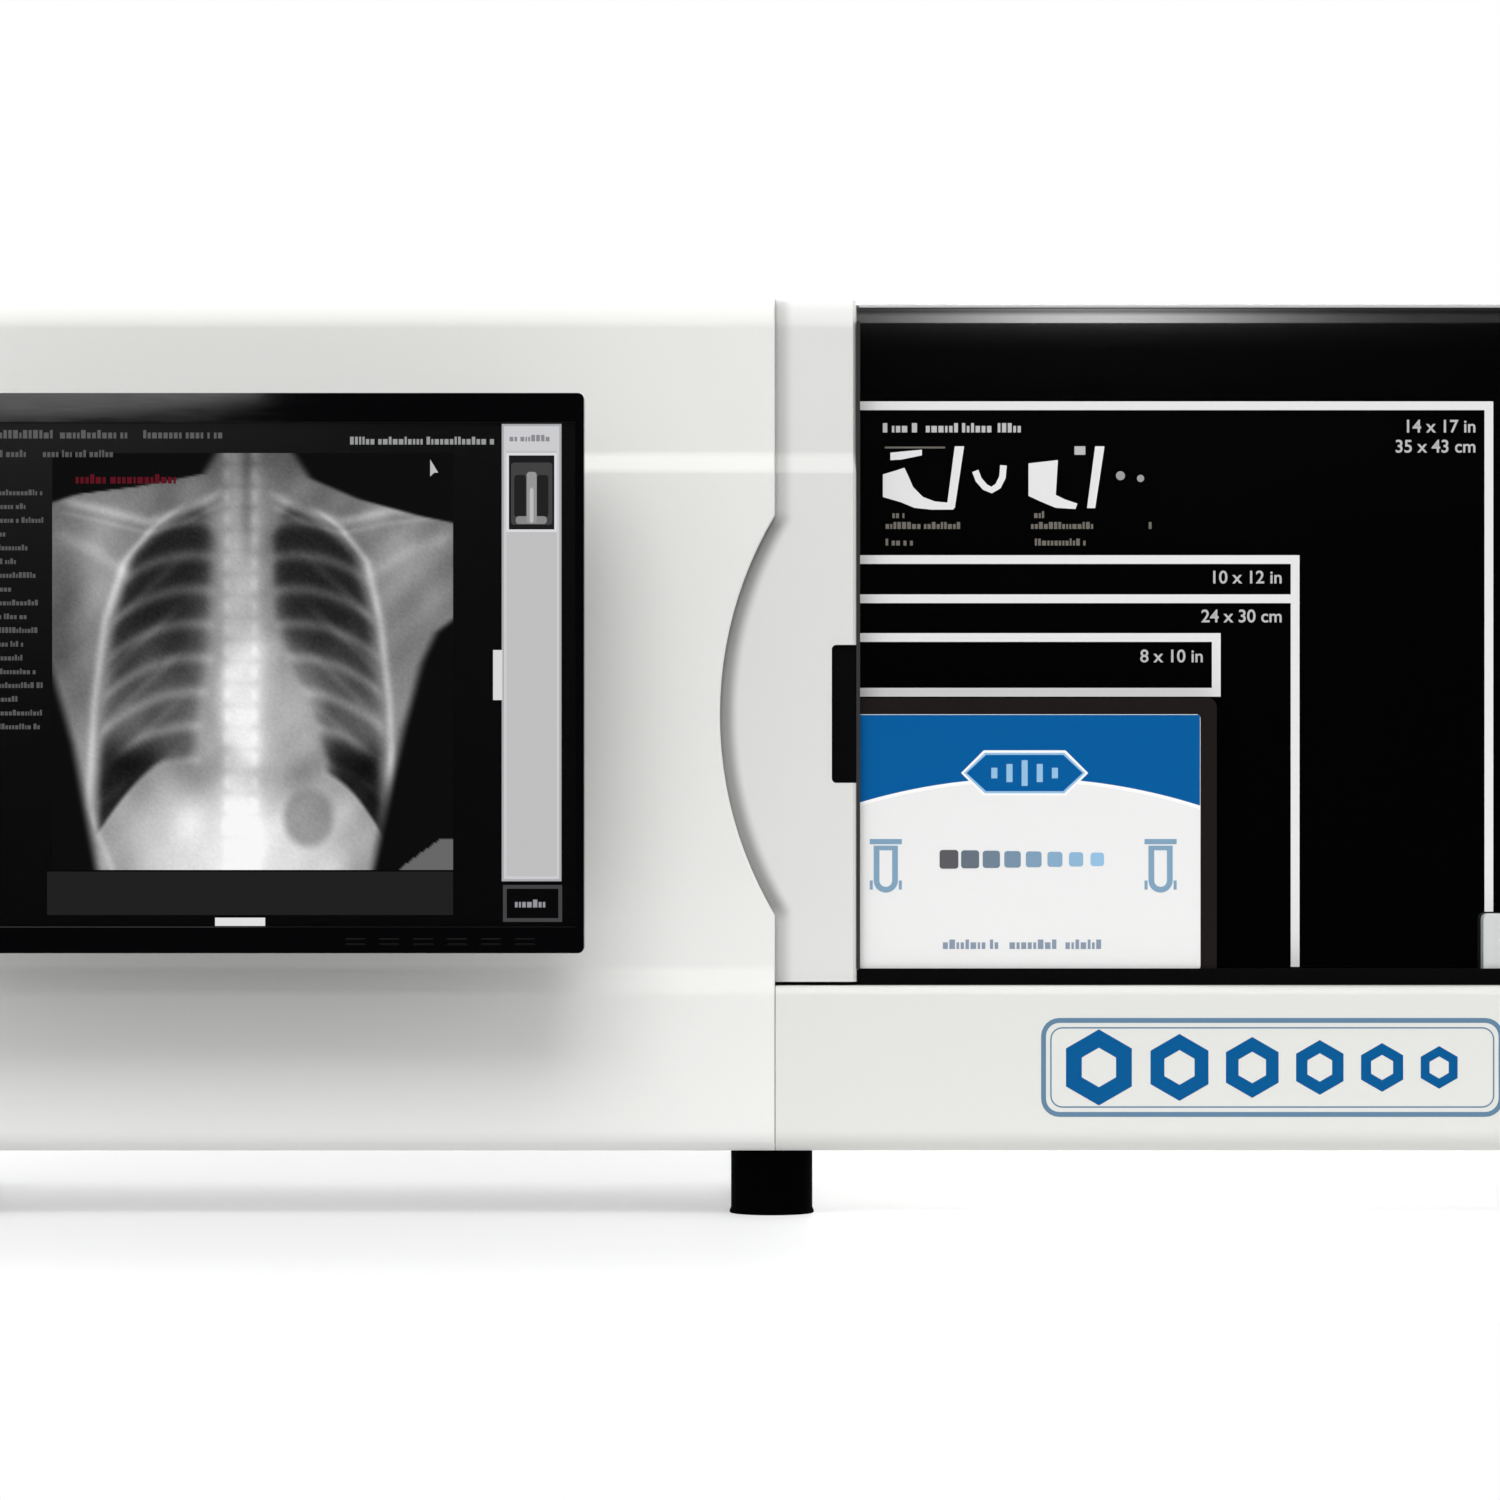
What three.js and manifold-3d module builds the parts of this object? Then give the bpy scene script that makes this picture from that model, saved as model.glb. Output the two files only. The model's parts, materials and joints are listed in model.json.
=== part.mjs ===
import * as THREE from "three";
import { mergeVertices } from "three/addons/utils/BufferGeometryUtils.js";
import Module from "manifold-3d";

const wasm = await Module();
wasm.setup();

// A wide plate scanner: a deep cabinet on the left with a monitor on its face, and a shallow wing on the
// right along which a cassette stands. Millimetres; X to the right, Y to the back, Z up from the floor.
// Y is zero at the main front face until the whole machine is centred at the end.

// Shared by all pieces
const seatGap = 0.3;
const cutOverrun = 2;
const coverWall = 3;
const sheetWall = 2.5;
const plateWall = 3;
const cornerSteps = 5;
const roundSides = 24;

// Outer form of the cabinet and the wing
const cabinetWidth = 610;
const wingWidth = 610;
const cabinetDepth = 320;
const wingDepth = 105;
const footHeight = 43;
const lowerBandHeight = 104;
const lowerCreaseRise = 17;
const mainFaceHeight = 327;
const upperCreaseRise = 11;
const upperBandHeight = 108;
const lowerBandProud = 3;
const upperBandSetback = 4;
const topRadius = 25;
const bottomRadius = 14;
const rearRadius = 12;
const coverReturn = 60;
const leftCapWidth = 16;
const rightCapWidth = 33;

// The bow in the right edge of the front cover
const bowHalfChord = 131.6;
const bowRise = 36.2;
const bowMiddleLevel = 330;
const bowSteps = 24;

// Slot cover and its finger notch
const slotCoverRecess = 3.5;
const slotCoverFootGap = 2.4;
const slotCoverReach = 54;
const slotCoverLap = 44;
const slotEdgeRadius = 5;
const slotEdgeDepth = 8;
const notchWidth = 16.5;
const notchHeight = 91;
const notchMiddleLevel = 331;
const notchRadius = 3;
const slotRibSetback = 7;
const slotRibLevel = 541;

// Cassette path: panel, ledge, rail and stop
const cassettePlay = 1.7;
const cassetteThickness = 15;
const panelPlay = 1;
const panelStart = 6;
const panelTopDrop = 6.6;
const panelTopRadius = 10;
const ledgeHeight = 109;
const ledgeRadius = 6;
const railWall = 2;
const railLipHeight = 10.7;
const railLipGap = 1.3;
const railSideGap = 1.7;
const railTabWall = 1.5;
const railTabLap = 4;
const stopSetback = 142;
const stopLength = 52;
const stopHeight = 44.4;
const stopRadius = 4;
const stopPocketWall = 3;

// Wing frame
const beamWall = 4;
const beamDepth = 79;
const beamHeight = 93.7;
const beamEndSetback = 40;
const uprightWidth = 30;
const uprightDepth = 22;
const uprightPlaceShares = [0.19, 0.85];
const uprightTopDrop = 20;

// Feet
const footRadius = 27;
const footFlare = 1;
const footFlareHeight = 4;
const footEdge = 1.5;
const footEndSetback = 50;
const footFrontPlace = 40;
const footRearSetback = 40;
const footMiddlePlace = -2;
const footRearRadius = 13;
const footRearInset = 15.5;

// Monitor
const monitorWidth = 442;
const monitorHeight = 360;
const monitorInset = 45;
const monitorLevel = 356.6;
const monitorProud = 95;
const pivotProud = 28;
const bezelDepth = 14;
const bezelSide = 6;
const bezelTop = 19;
const bezelBottom = 17;
const bezelRadius = 4;
const screenLap = 3;
const screenThickness = 7.7;
const shellDepth = 30.7;
const shellRim = 8;
const shellBackWidth = 300;
const shellBackHeight = 210;
const shellBackRadius = 18;
const screenPostRadius = 5;
const screenPostWidthShare = 0.3;
const screenPostHeightShare = 0.22;
const shellVentCount = 9;
const shellVentWidth = 4;
const shellVentLength = 60;
const shellVentPitch = 12;
const keyCount = 6;
const keyWidth = 12;
const keyHeight = 3.2;
const keyPitch = 21.8;
const keyRowPlace = 128.5;
const keyRowRise = 7.5;
const keyFlange = 1.5;
const keyFlangeThickness = 1;

// Monitor tilt mount
const mountPlateWidth = 90;
const mountPlateHeight = 110;
const mountPlateWall = 4;
const mountPlateRadius = 6;
const earRootHalfHeight = 26;
const earTipRadius = 9;
const earWall = 4;
const headEarSpan = 56;
const earPlay = 1;
const headPlateSize = 100;
const pinRadius = 4;
const pinHeadRadius = 7;
const pinHeadLength = 3;

// Cassette and imaging plate
const cassettePlace = 27;
const cassetteWidth = 265;
const cassetteHeight = 187;
const cassetteRadius = 6;
const cassetteEdgeWall = 3.9;
const cassetteMouthSlack = 1;
const plateWidth = 240;
const plateHeight = 178;
const plateThickness = 1.5;
const plateInset = 2;
const labelBorder = 10.5;
const labelLeftBorder = 3;
const labelFootBorder = 7;
const labelThickness = 1.2;
const labelRadius = 3;

// Chassis plate
const chassisGap = 3;
const chassisLeftGap = 3.7;
const chassisTopDrop = 10;
const chassisFlange = 20;
const slitPlace = -36;
const slitWidth = 8;
const readTopDrop = 60;
const readFootRise = 107;
const eraseWindowPlace = -300;
const eraseWindowWidth = 60;
const rollerTabThickness = 3;
const rollerTabWidth = 19.4;

// Platen
const platenWall = 2;
const platenPlateGap = 3.25;
const platenLeftGap = 8.7;
const platenTopRise = 10;

// Feed rollers
const rollerPlace = -10;
const feedRollerRadius = 6;
const pinchRollerRadius = 3.8;
const journalRadius = 2;
const journalReach = 5;
const rollerTabFrontWall = 3.4;

// Belt drive
const beltLevel = 84;
const beltWidth = 8;
const beltThickness = 1.2;
const beltBackGap = 7;
const pulleyRadius = 12;
const pulleyFlange = 1.2;
const driveInset = 42;
const idlerPlace = -25;
const shaftRadius = 2.5;
const studRadius = 3;
const motorSize = 42;
const motorLength = 40;
const motorCorner = 6;
const motorBoreDepth = 16;

// Linear rail and plate carriage
const railLevel = 108;
const railHeight = 12;
const railDepth = 8;
const railRightGap = 14;
const railGroove = 2;
const carriagePlace = -80;
const carriageLength = 30;
const carriageWall = 5;
const carriageArmWidth = 20;
const carriageArmDepth = 5;
const carriageArmTop = 300;
const bladeFoot = 200;

// Optics
const opticsPlateDepth = 176;
const opticsPlateWall = 6;
const opticsInset = 110;
const opticsRight = -8;
const opticsFoot = 160;
const opticsTop = 540;
const opticsRadius = 12;
const postRadius = 8;
const postInset = 10;
const postRightPlace = -100;
const beamPlaneGap = 22;
const polygonInset = 60;
const polygonLevel = 350;
const polygonRadius = 22;
const polygonHeight = 8;
const polygonFacets = 8;
const polygonHubRadius = 8;
const spindleRadius = 30;
const spindleChamfer = 3;
const laserOffset = 15;
const laserFoot = 196;
const laserBlockSize = 34;
const laserBlockHeight = 54;
const laserBarrelRadius = 9;
const laserBarrelLength = 36;
const lensOffset = 55;
const lensThickness = 15;
const lensHeight = 90;
const lensDepth = 16;
const lensBulge = 9;
const lensPadWidth = 26;
const foldMirrorWidth = 40;
const foldMirrorThickness = 5;
const wedgeRightPlace = -12;
const guideMouthGap = 4;
const guideLength = 86;
const guideTipHeight = 46;
const guideDepth = 20;
const photoTubeRadius = 26;
const photoTubeLength = 120;
const photoTubeCapLength = 14;
const saddleWidth = 70;
const saddleHeight = 40;

// Erase lamps
const lampHousingDepth = 44;
const lampHousingWall = 2;
const lampHousingTaper = 12;
const lampHousingShoulder = 28;
const lampEndWall = 5;
const lampRadius = 8;
const lampPitch = 30;
const lampPlaneGap = 18;
const lampSetback = 2;

// Electronics and mains
const supplyInset = 170;
const supplyWidth = 170;
const supplyDepth = 100;
const supplyHeight = 64;
const supplyRearGap = 20;
const supplyTerminalDepth = 16;
const supplyTerminalHeight = 30;
const supplyVentCount = 8;
const supplyVentWidth = 4;
const boardInset = 20;
const boardWidth = 300;
const boardFoot = 200;
const boardHeight = 220;
const boardThickness = 1.6;
const spacerHeight = 10;
const spacerRadius = 4;
const spacerInset = 12;
const sinkSize = 60;
const sinkBase = 4;
const sinkHeight = 22;
const sinkFins = 7;
const finThickness = 2.5;
const connectorHeight = 11;
const connectorWidth = 40;
const connectorDepth = 14;
const connectorCount = 3;
const connectorPitch = 56;
const fanPlace = -110;
const fanLevel = 120;
const fanSize = 80;
const fanDepth = 25;
const fanRadius = 37;
const fanCorner = 4;
const fanHubRadius = 15;
const fanStrutWidth = 4;
const fanStrutThickness = 3;
const fanBladeCount = 7;
const fanBladeSteps = 4;
const fanBladeThickness = 1.8;
const fanBladeCamber = 2.2;
const fanRootChord = 12;
const fanTipChord = 18;
const fanRootPitch = 54;
const fanTipPitch = 27;
const fanTipGap = 2;
const grilleSlotCount = 8;
const grilleSlotHeight = 5;
const grillePitch = 9;
const grilleWidth = 68;
const windowInset = 95;
const windowLevel = 94;
const windowWidth = 100;
const windowHeight = 60;
const windowLap = 8;
const inletOffset = 23;
const inletWidth = 28;
const inletHeight = 22;
const inletFlange = 4;
const inletFlangeThickness = 2.2;
const inletDepth = 24;
const inletWall = 2.5;
const inletCavity = 17;
const inletPinWidth = 2;
const inletPinHeight = 5;
const inletPinLength = 12;
const inletPinPitch = 7;
const rockerOffset = 10;
const rockerWidth = 18;
const rockerRadius = 6.5;
const rockerTipAngle = 60;
const rockerDip = 2;
const rockerRestTilt = 8;
const rockerPivotGap = 3.5;
const rockerNubRadius = 1.5;
const rockerNubLength = 1.5;
const rockerBoxWall = 2;
const socketOffset = 34;
const socketWidth = 14;
const socketHeight = 12;
const socketDepth = 14;
const socketWall = 1.5;

// Levels, counted up from the floor
const undersideLevel = footHeight;
const lowerBandLevel = undersideLevel + lowerBandHeight;
const mainFaceLevel = lowerBandLevel + lowerCreaseRise;
const upperCreaseLevel = mainFaceLevel + mainFaceHeight;
const upperBandLevel = upperCreaseLevel + upperCreaseRise;
const topLevel = upperBandLevel + upperBandHeight;
const panelTopLevel = topLevel - panelTopDrop;
const ledgeLevel = undersideLevel + ledgeHeight;
const railFloorLevel = ledgeLevel + seatGap;
const cassetteLevel = railFloorLevel + railWall + seatGap;
const trayLevel = undersideLevel + coverWall + seatGap;
const trayFloorLevel = trayLevel + sheetWall + seatGap;
const readTopLevel = topLevel - readTopDrop;
const readFootLevel = undersideLevel + readFootRise;

// Depths, counted back from the main front face
const slotCoverFront = coverWall + seatGap + slotCoverRecess;
const slotCoverBack = slotCoverFront + coverWall;
const cassetteFront = slotCoverBack + upperBandSetback + cassettePlay;
const cassetteBack = cassetteFront + cassetteThickness;
const plateMiddle = (cassetteFront + cassetteBack) / 2;
const panelFront = cassetteBack + panelPlay;
const panelBack = panelFront + plateWall;
const chassisFront = panelBack + chassisGap;
const chassisBack = chassisFront + plateWall;
const rearStart = coverReturn + seatGap;

// Places along the length
const capInside = -cabinetWidth + leftCapWidth;
const coverLeft = capInside + seatGap;
const chassisLeft = capInside + chassisLeftGap;
const wingCapInside = wingWidth - rightCapWidth;
const wingCoverRight = wingCapInside - seatGap;
const stopPlace = wingWidth - stopSetback;
const monitorPlace = monitorInset + monitorWidth / 2 - cabinetWidth;
const drivePlace = driveInset - cabinetWidth;
const opticsLeft = opticsInset - cabinetWidth;
const polygonPlace = opticsLeft + polygonInset;
const laserPlace = polygonPlace + laserOffset;
const lensPlace = polygonPlace + lensOffset;
const supplyLeft = supplyInset - cabinetWidth;
const boardLeft = opticsLeft + boardInset;
const windowPlace = windowInset - cabinetWidth;
const inletPlace = windowPlace - inletOffset;
const rockerPlace = windowPlace + rockerOffset;
const socketPlace = windowPlace + socketOffset;

const radians = THREE.MathUtils.degToRad;
const span = (middle, width) => [middle - width / 2, middle + width / 2];

// Points along an arc, in degrees from the first axis of the outline towards the second.
function arcPoints(centre, radius, [from, to], steps = cornerSteps) {
  return Array.from({ length: steps + 1 }, (_, step) => {
    const angle = radians(from + ((to - from) * step) / steps);
    return [centre[0] + radius * Math.cos(angle), centre[1] + radius * Math.sin(angle)];
  });
}

function circle(centre, radius, sides = roundSides) {
  return arcPoints(centre, radius, [0, 360], sides).slice(0, sides);
}

function roundedRectangle([left, right], [foot, top], radius) {
  return [
    ...arcPoints([right - radius, top - radius], radius, [0, 90]),
    ...arcPoints([left + radius, top - radius], radius, [90, 180]),
    ...arcPoints([left + radius, foot + radius], radius, [180, 270]),
    ...arcPoints([right - radius, foot + radius], radius, [270, 360]),
  ];
}

// A sheet seen on edge: out along one line and back along another.
const band = (outer, inner) => [...outer, ...[...inner].reverse()];

const toVectors = (points) => points.map(([u, v]) => new THREE.Vector2(u, v));

// The outline's own axes turned onto the machine: across and up for each direction of extrusion.
const unitX = new THREE.Vector3(1, 0, 0);
const unitY = new THREE.Vector3(0, 1, 0);
const unitZ = new THREE.Vector3(0, 0, 1);
const turnToX = new THREE.Matrix4().makeBasis(unitY, unitZ, unitX);
const turnToY = new THREE.Matrix4().makeBasis(unitX, unitZ, unitY.clone().negate());

function extruded(outline, length, holes = []) {
  const shape = new THREE.Shape(toVectors(outline));
  shape.holes = holes.map((hole) => new THREE.Path(toVectors(hole)));
  return new THREE.ExtrudeGeometry(shape, { depth: length, bevelEnabled: false });
}

const alongX = (outline, [from, to], holes) =>
  extruded(outline, to - from, holes).applyMatrix4(turnToX).translate(from, 0, 0);
const alongY = (outline, [from, to], holes) =>
  extruded(outline, to - from, holes).applyMatrix4(turnToY).translate(0, to, 0);
const alongZ = (outline, [from, to], holes) => extruded(outline, to - from, holes).translate(0, 0, from);

function block(x, y, z) {
  const box = new THREE.BoxGeometry(x[1] - x[0], y[1] - y[0], z[1] - z[0]);
  return box.translate((x[0] + x[1]) / 2, (y[0] + y[1]) / 2, (z[0] + z[1]) / 2);
}

// Sections with equally many points, each [place, outline], skinned one to the next and capped.
function loft(sections) {
  const clockwise = THREE.ShapeUtils.isClockWise(toVectors(sections[0][1]));
  const rings = sections.map(([place, outline]) => {
    const points = clockwise ? [...outline].reverse() : outline;
    return points.map(([u, v]) => [u, v, place]);
  });
  const count = rings[0].length;
  const caps = THREE.ShapeUtils.triangulateShape(toVectors(rings[0]), []);
  const faces = [];
  for (let ring = 0; ring < rings.length - 1; ring++) {
    for (let side = 0; side < count; side++) {
      const here = ring * count + side;
      const beside = ring * count + ((side + 1) % count);
      faces.push(here, beside, beside + count, here, beside + count, here + count);
    }
  }
  const last = (rings.length - 1) * count;
  for (const [a, b, c] of caps) faces.push(c, b, a, last + a, last + b, last + c);
  const geometry = new THREE.BufferGeometry();
  geometry.setAttribute("position", new THREE.Float32BufferAttribute(rings.flat(2), 3));
  return geometry.setIndex(faces);
}

const loftAlongX = (sections) => loft(sections).applyMatrix4(turnToX);
const loftAlongY = (sections) =>
  loft(sections.map(([place, outline]) => [-place, outline]).reverse()).applyMatrix4(turnToY);

// A profile of [radius, height] points turned about the upright axis.
function turned(profile, sides = roundSides) {
  return new THREE.LatheGeometry(toVectors(profile), sides).rotateX(Math.PI / 2);
}

// A geometry as a manifold solid, with shared corners merged and flat slivers dropped.
function toSolid(shape) {
  if (!shape.isBufferGeometry) return shape;
  const bare = new THREE.BufferGeometry();
  bare.setAttribute("position", shape.getAttribute("position"));
  bare.setIndex(shape.index);
  const merged = mergeVertices(bare, seatGap / 1000);
  const corners = [];
  for (let i = 0; i < merged.index.count; i += 3) {
    const [a, b, c] = [0, 1, 2].map((corner) => merged.index.getX(i + corner));
    if (a !== b && b !== c && c !== a) corners.push(a, b, c);
  }
  const vertProperties = merged.attributes.position.array;
  const triVerts = new Uint32Array(corners);
  return new wasm.Manifold(new wasm.Mesh({ numProp: 3, vertProperties, triVerts }));
}

const join = (...shapes) => shapes.map(toSolid).reduce((whole, shape) => whole.add(shape));
const cut = (whole, ...tools) => tools.map(toSolid).reduce((rest, tool) => rest.subtract(tool), toSolid(whole));

function toGeometry(solid) {
  const mesh = solid.getMesh();
  const geometry = new THREE.BufferGeometry();
  geometry.setAttribute("position", new THREE.BufferAttribute(new Float32Array(mesh.vertProperties), 3));
  geometry.setIndex(new THREE.BufferAttribute(new Uint32Array(mesh.triVerts), 1));
  geometry.computeVertexNormals();
  return geometry;
}

// Finishes: colour, roughness, metalness
const finishes = {
  whitePaint: [0xe6e6e2, 0.45, 0],
  blackGloss: [0x050505, 0.12, 0],
  blackPlastic: [0x0c0c0d, 0.4, 0],
  greyPlastic: [0xc8ccca, 0.5, 0],
  rubber: [0x0a0a0a, 0.85, 0],
  zincSteel: [0xb4b7ba, 0.38, 1],
  aluminium: [0xc4c6c8, 0.35, 1],
  whiteLabel: [0xeeeeee, 0.5, 0],
  phosphor: [0xf2f4f2, 0.6, 0],
  darkGlass: [0x08090a, 0.08, 0],
  mirror: [0xe8ecef, 0.04, 1],
  clearAcrylic: [0xcfe0ea, 0.08, 0],
  boardGreen: [0x1d6b45, 0.45, 0],
};

function piece(name, finish, shape, parent, place = [0, 0, 0]) {
  const [color, roughness, metalness] = finishes[finish];
  const material = new THREE.MeshStandardMaterial({ color, roughness, metalness });
  const mesh = new THREE.Mesh(toGeometry(toSolid(shape)), material);
  mesh.name = name;
  mesh.position.set(...place);
  parent.add(mesh);
  return mesh;
}

function group(parent, place = [0, 0, 0]) {
  const inner = new THREE.Group();
  inner.position.set(...place);
  parent.add(inner);
  return inner;
}

// The upper part of the front in section, from the top return forward and down to endLevel.
function upperFront(inset, endLevel, returnDepth = coverReturn) {
  return [
    [returnDepth, topLevel - inset],
    ...arcPoints([upperBandSetback + topRadius, topLevel - topRadius], topRadius - inset, [90, 180]),
    [upperBandSetback + inset, upperBandLevel],
    [inset, upperCreaseLevel],
    [inset, endLevel],
  ];
}

// The bottom front edge in section, from the lower band round to the return under the floor.
function lowerFront(inset, returnDepth = coverReturn) {
  const centre = [bottomRadius - lowerBandProud, undersideLevel + bottomRadius];
  return [...arcPoints(centre, bottomRadius - inset, [180, 270]), [returnDepth, undersideLevel + inset]];
}

function wholeFront(inset, returnDepth) {
  return [
    ...upperFront(inset, mainFaceLevel, returnDepth),
    [inset - lowerBandProud, lowerBandLevel],
    ...lowerFront(inset, returnDepth),
  ];
}

// The back of a cover in section, from its top edge round both rear corners to its bottom edge.
function rearOutline(inset, depth, top) {
  const corner = depth - rearRadius;
  return [
    [rearStart, top - inset],
    ...arcPoints([corner, top - rearRadius], rearRadius - inset, [90, 0]),
    ...arcPoints([corner, undersideLevel + rearRadius], rearRadius - inset, [0, -90]),
    [rearStart, undersideLevel + inset],
  ];
}

// A whole closed section: the front outline, then the rear corners from the bottom up.
function closedSection(inset, depth) {
  const corner = depth - rearRadius;
  const front = wholeFront(inset, corner);
  return [
    ...front.slice(1, -1),
    ...arcPoints([corner, undersideLevel + rearRadius], rearRadius - inset, [-90, 0]),
    ...arcPoints([corner, topLevel - rearRadius], rearRadius - inset, [0, 90]),
  ];
}

// Covers of the cabinet

function frontCover() {
  const section = band(wholeFront(0, coverReturn), wholeFront(coverWall, coverReturn));
  const bowRadius = (bowHalfChord ** 2 + bowRise ** 2) / (2 * bowRise);
  const halfAngle = THREE.MathUtils.radToDeg(Math.asin(bowHalfChord / bowRadius));
  const bowCentre = [bowRadius - bowRise, bowMiddleLevel];
  const bite = [
    ...arcPoints(bowCentre, bowRadius, [180 - halfAngle, 180 + halfAngle], bowSteps),
    [cutOverrun, bowMiddleLevel - bowHalfChord],
    [cutOverrun, bowMiddleLevel + bowHalfChord],
  ];
  const through = [-lowerBandProud - cutOverrun, coverWall + cutOverrun];
  return cut(alongX(section, [coverLeft, 0]), alongY(bite, through));
}

function slotCover() {
  const sunkFront = (depth) =>
    upperFront(depth - slotCoverRecess, ledgeLevel + slotCoverFootGap, coverReturn - slotCoverRecess).map(
      ([back, level]) => [back + slotCoverRecess, level],
    );
  const section = (front, back) => band(sunkFront(front), sunkFront(back));
  const edgeStart = slotCoverReach - slotEdgeRadius;
  const edgeBack = slotCoverFront + slotEdgeDepth;
  const rounded = arcPoints([0, 0], slotEdgeRadius, [90, 0]).map(([along, depth]) => [
    edgeStart + along,
    section(slotCoverFront + slotEdgeRadius - depth, edgeBack),
  ]);
  const sheetEnds = [-slotCoverLap, slotCoverReach - slotEdgeRadius / 2];
  const sheet = alongX(section(slotCoverFront, slotCoverBack), sheetEnds);
  const panelRoom = block(
    [edgeStart - cutOverrun, slotCoverReach + cutOverrun],
    [panelFront - seatGap, coverReturn + cutOverrun],
    [upperBandLevel, topLevel - 2 * coverWall - seatGap],
  );
  const cassetteRoom = block(
    [edgeStart - cutOverrun, slotCoverReach + cutOverrun],
    [cassetteFront - seatGap, panelFront],
    [ledgeLevel, slotRibLevel],
  );
  const edge = cut(loftAlongX(rounded), panelRoom, cassetteRoom);
  const rear = block(
    [0, slotCoverReach],
    [coverReturn - coverWall, coverReturn],
    [panelTopLevel + seatGap, topLevel - coverWall - seatGap],
  );
  const rib = block(
    span(slotCoverReach - slotRibSetback - coverWall / 2, coverWall),
    [upperBandSetback + slotCoverFront, panelFront - seatGap],
    [slotRibLevel, panelTopLevel - panelTopRadius],
  );
  const sidePanelRoom = block(
    [-slotCoverLap - cutOverrun, 0],
    [chassisBack, coverReturn + cutOverrun],
    [upperBandLevel, topLevel],
  );
  const notch = alongY(
    roundedRectangle(
      [slotCoverReach - notchWidth, slotCoverReach + notchWidth],
      span(notchMiddleLevel, notchHeight),
      notchRadius,
    ),
    [0, panelFront - seatGap],
  );
  return cut(join(cut(sheet, sidePanelRoom), edge, rear, rib), notch);
}

function grilleSlots() {
  const across = span(fanPlace, grilleWidth);
  return Array.from({ length: grilleSlotCount }, (_, slot) => {
    const level = fanLevel + (slot - (grilleSlotCount - 1) / 2) * grillePitch;
    const outline = roundedRectangle(across, span(level, grilleSlotHeight), grilleSlotHeight / 2 - seatGap);
    return alongY(outline, [cabinetDepth - coverWall - cutOverrun, cabinetDepth + cutOverrun]);
  });
}

function rearCover() {
  const outline = (inset) => rearOutline(inset, cabinetDepth, topLevel);
  const inletWindow = block(
    span(windowPlace, windowWidth),
    [cabinetDepth - coverWall - cutOverrun, cabinetDepth + cutOverrun],
    span(windowLevel, windowHeight),
  );
  return cut(alongX(band(outline(0), outline(coverWall)), [coverLeft, 0]), inletWindow, ...grilleSlots());
}

function baseTray() {
  const front = bottomRadius;
  const back = cabinetDepth - coverWall - rearRadius;
  const flangeTop = trayLevel + chassisFlange;
  const section = [
    [front, flangeTop],
    [front, trayLevel],
    [back, trayLevel],
    [back, flangeTop],
    [back - sheetWall, flangeTop],
    [back - sheetWall, trayLevel + sheetWall],
    [front + sheetWall, trayLevel + sheetWall],
    [front + sheetWall, flangeTop],
  ];
  return alongX(section, [chassisLeft, -plateWall - 2 * seatGap]);
}

function leftEndCap() {
  return cut(
    alongX(closedSection(0, cabinetDepth), [-cabinetWidth, capInside]),
    alongX(closedSection(coverWall, cabinetDepth), [-cabinetWidth + coverWall, capInside + cutOverrun]),
  );
}

function rightSidePanel() {
  const inset = coverWall + seatGap;
  const corner = cabinetDepth - rearRadius;
  const outline = [
    [chassisBack + seatGap, topLevel - inset],
    [chassisBack + seatGap, undersideLevel + inset],
    ...arcPoints([corner, undersideLevel + rearRadius], rearRadius - inset, [-90, 0]),
    ...arcPoints([corner, topLevel - rearRadius], rearRadius - inset, [0, 90]),
  ];
  return alongX(outline, [-plateWall - seatGap, -seatGap]);
}

// Covers, frame, rail and stop of the wing

function lowerCover() {
  const edge = (inset) => [
    [panelBack, ledgeLevel - inset],
    ...arcPoints([ledgeRadius - lowerBandProud, ledgeLevel - ledgeRadius], ledgeRadius - inset, [90, 180]),
    ...lowerFront(inset),
  ];
  return alongX(band(edge(0), edge(coverWall)), [seatGap, wingCoverRight]);
}

function cassettePanel() {
  const centre = [panelFront + panelTopRadius, panelTopLevel - panelTopRadius];
  const edge = (inset) => [
    [coverReturn, panelTopLevel - inset],
    ...arcPoints(centre, panelTopRadius - inset, [90, 180]),
    [panelFront + inset, railFloorLevel],
  ];
  return alongX(band(edge(0), edge(plateWall)), [panelStart, wingCoverRight]);
}

function wingRearCover() {
  const outline = (inset) => rearOutline(inset, wingDepth, panelTopLevel);
  return alongX(band(outline(0), outline(coverWall)), [seatGap, wingCoverRight]);
}

function rightEndCap() {
  const inside = closedSection(coverWall, wingDepth);
  const pocket = alongX(inside, [wingCapInside + coverWall, wingWidth - coverWall]);
  const mouth = block(
    [wingCapInside - cutOverrun, wingCapInside + coverWall + cutOverrun],
    [panelBack, wingDepth - coverWall],
    [undersideLevel + rearRadius, topLevel - rearRadius],
  );
  return cut(alongX(closedSection(0, wingDepth), [wingCapInside, wingWidth]), pocket, mouth);
}

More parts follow.
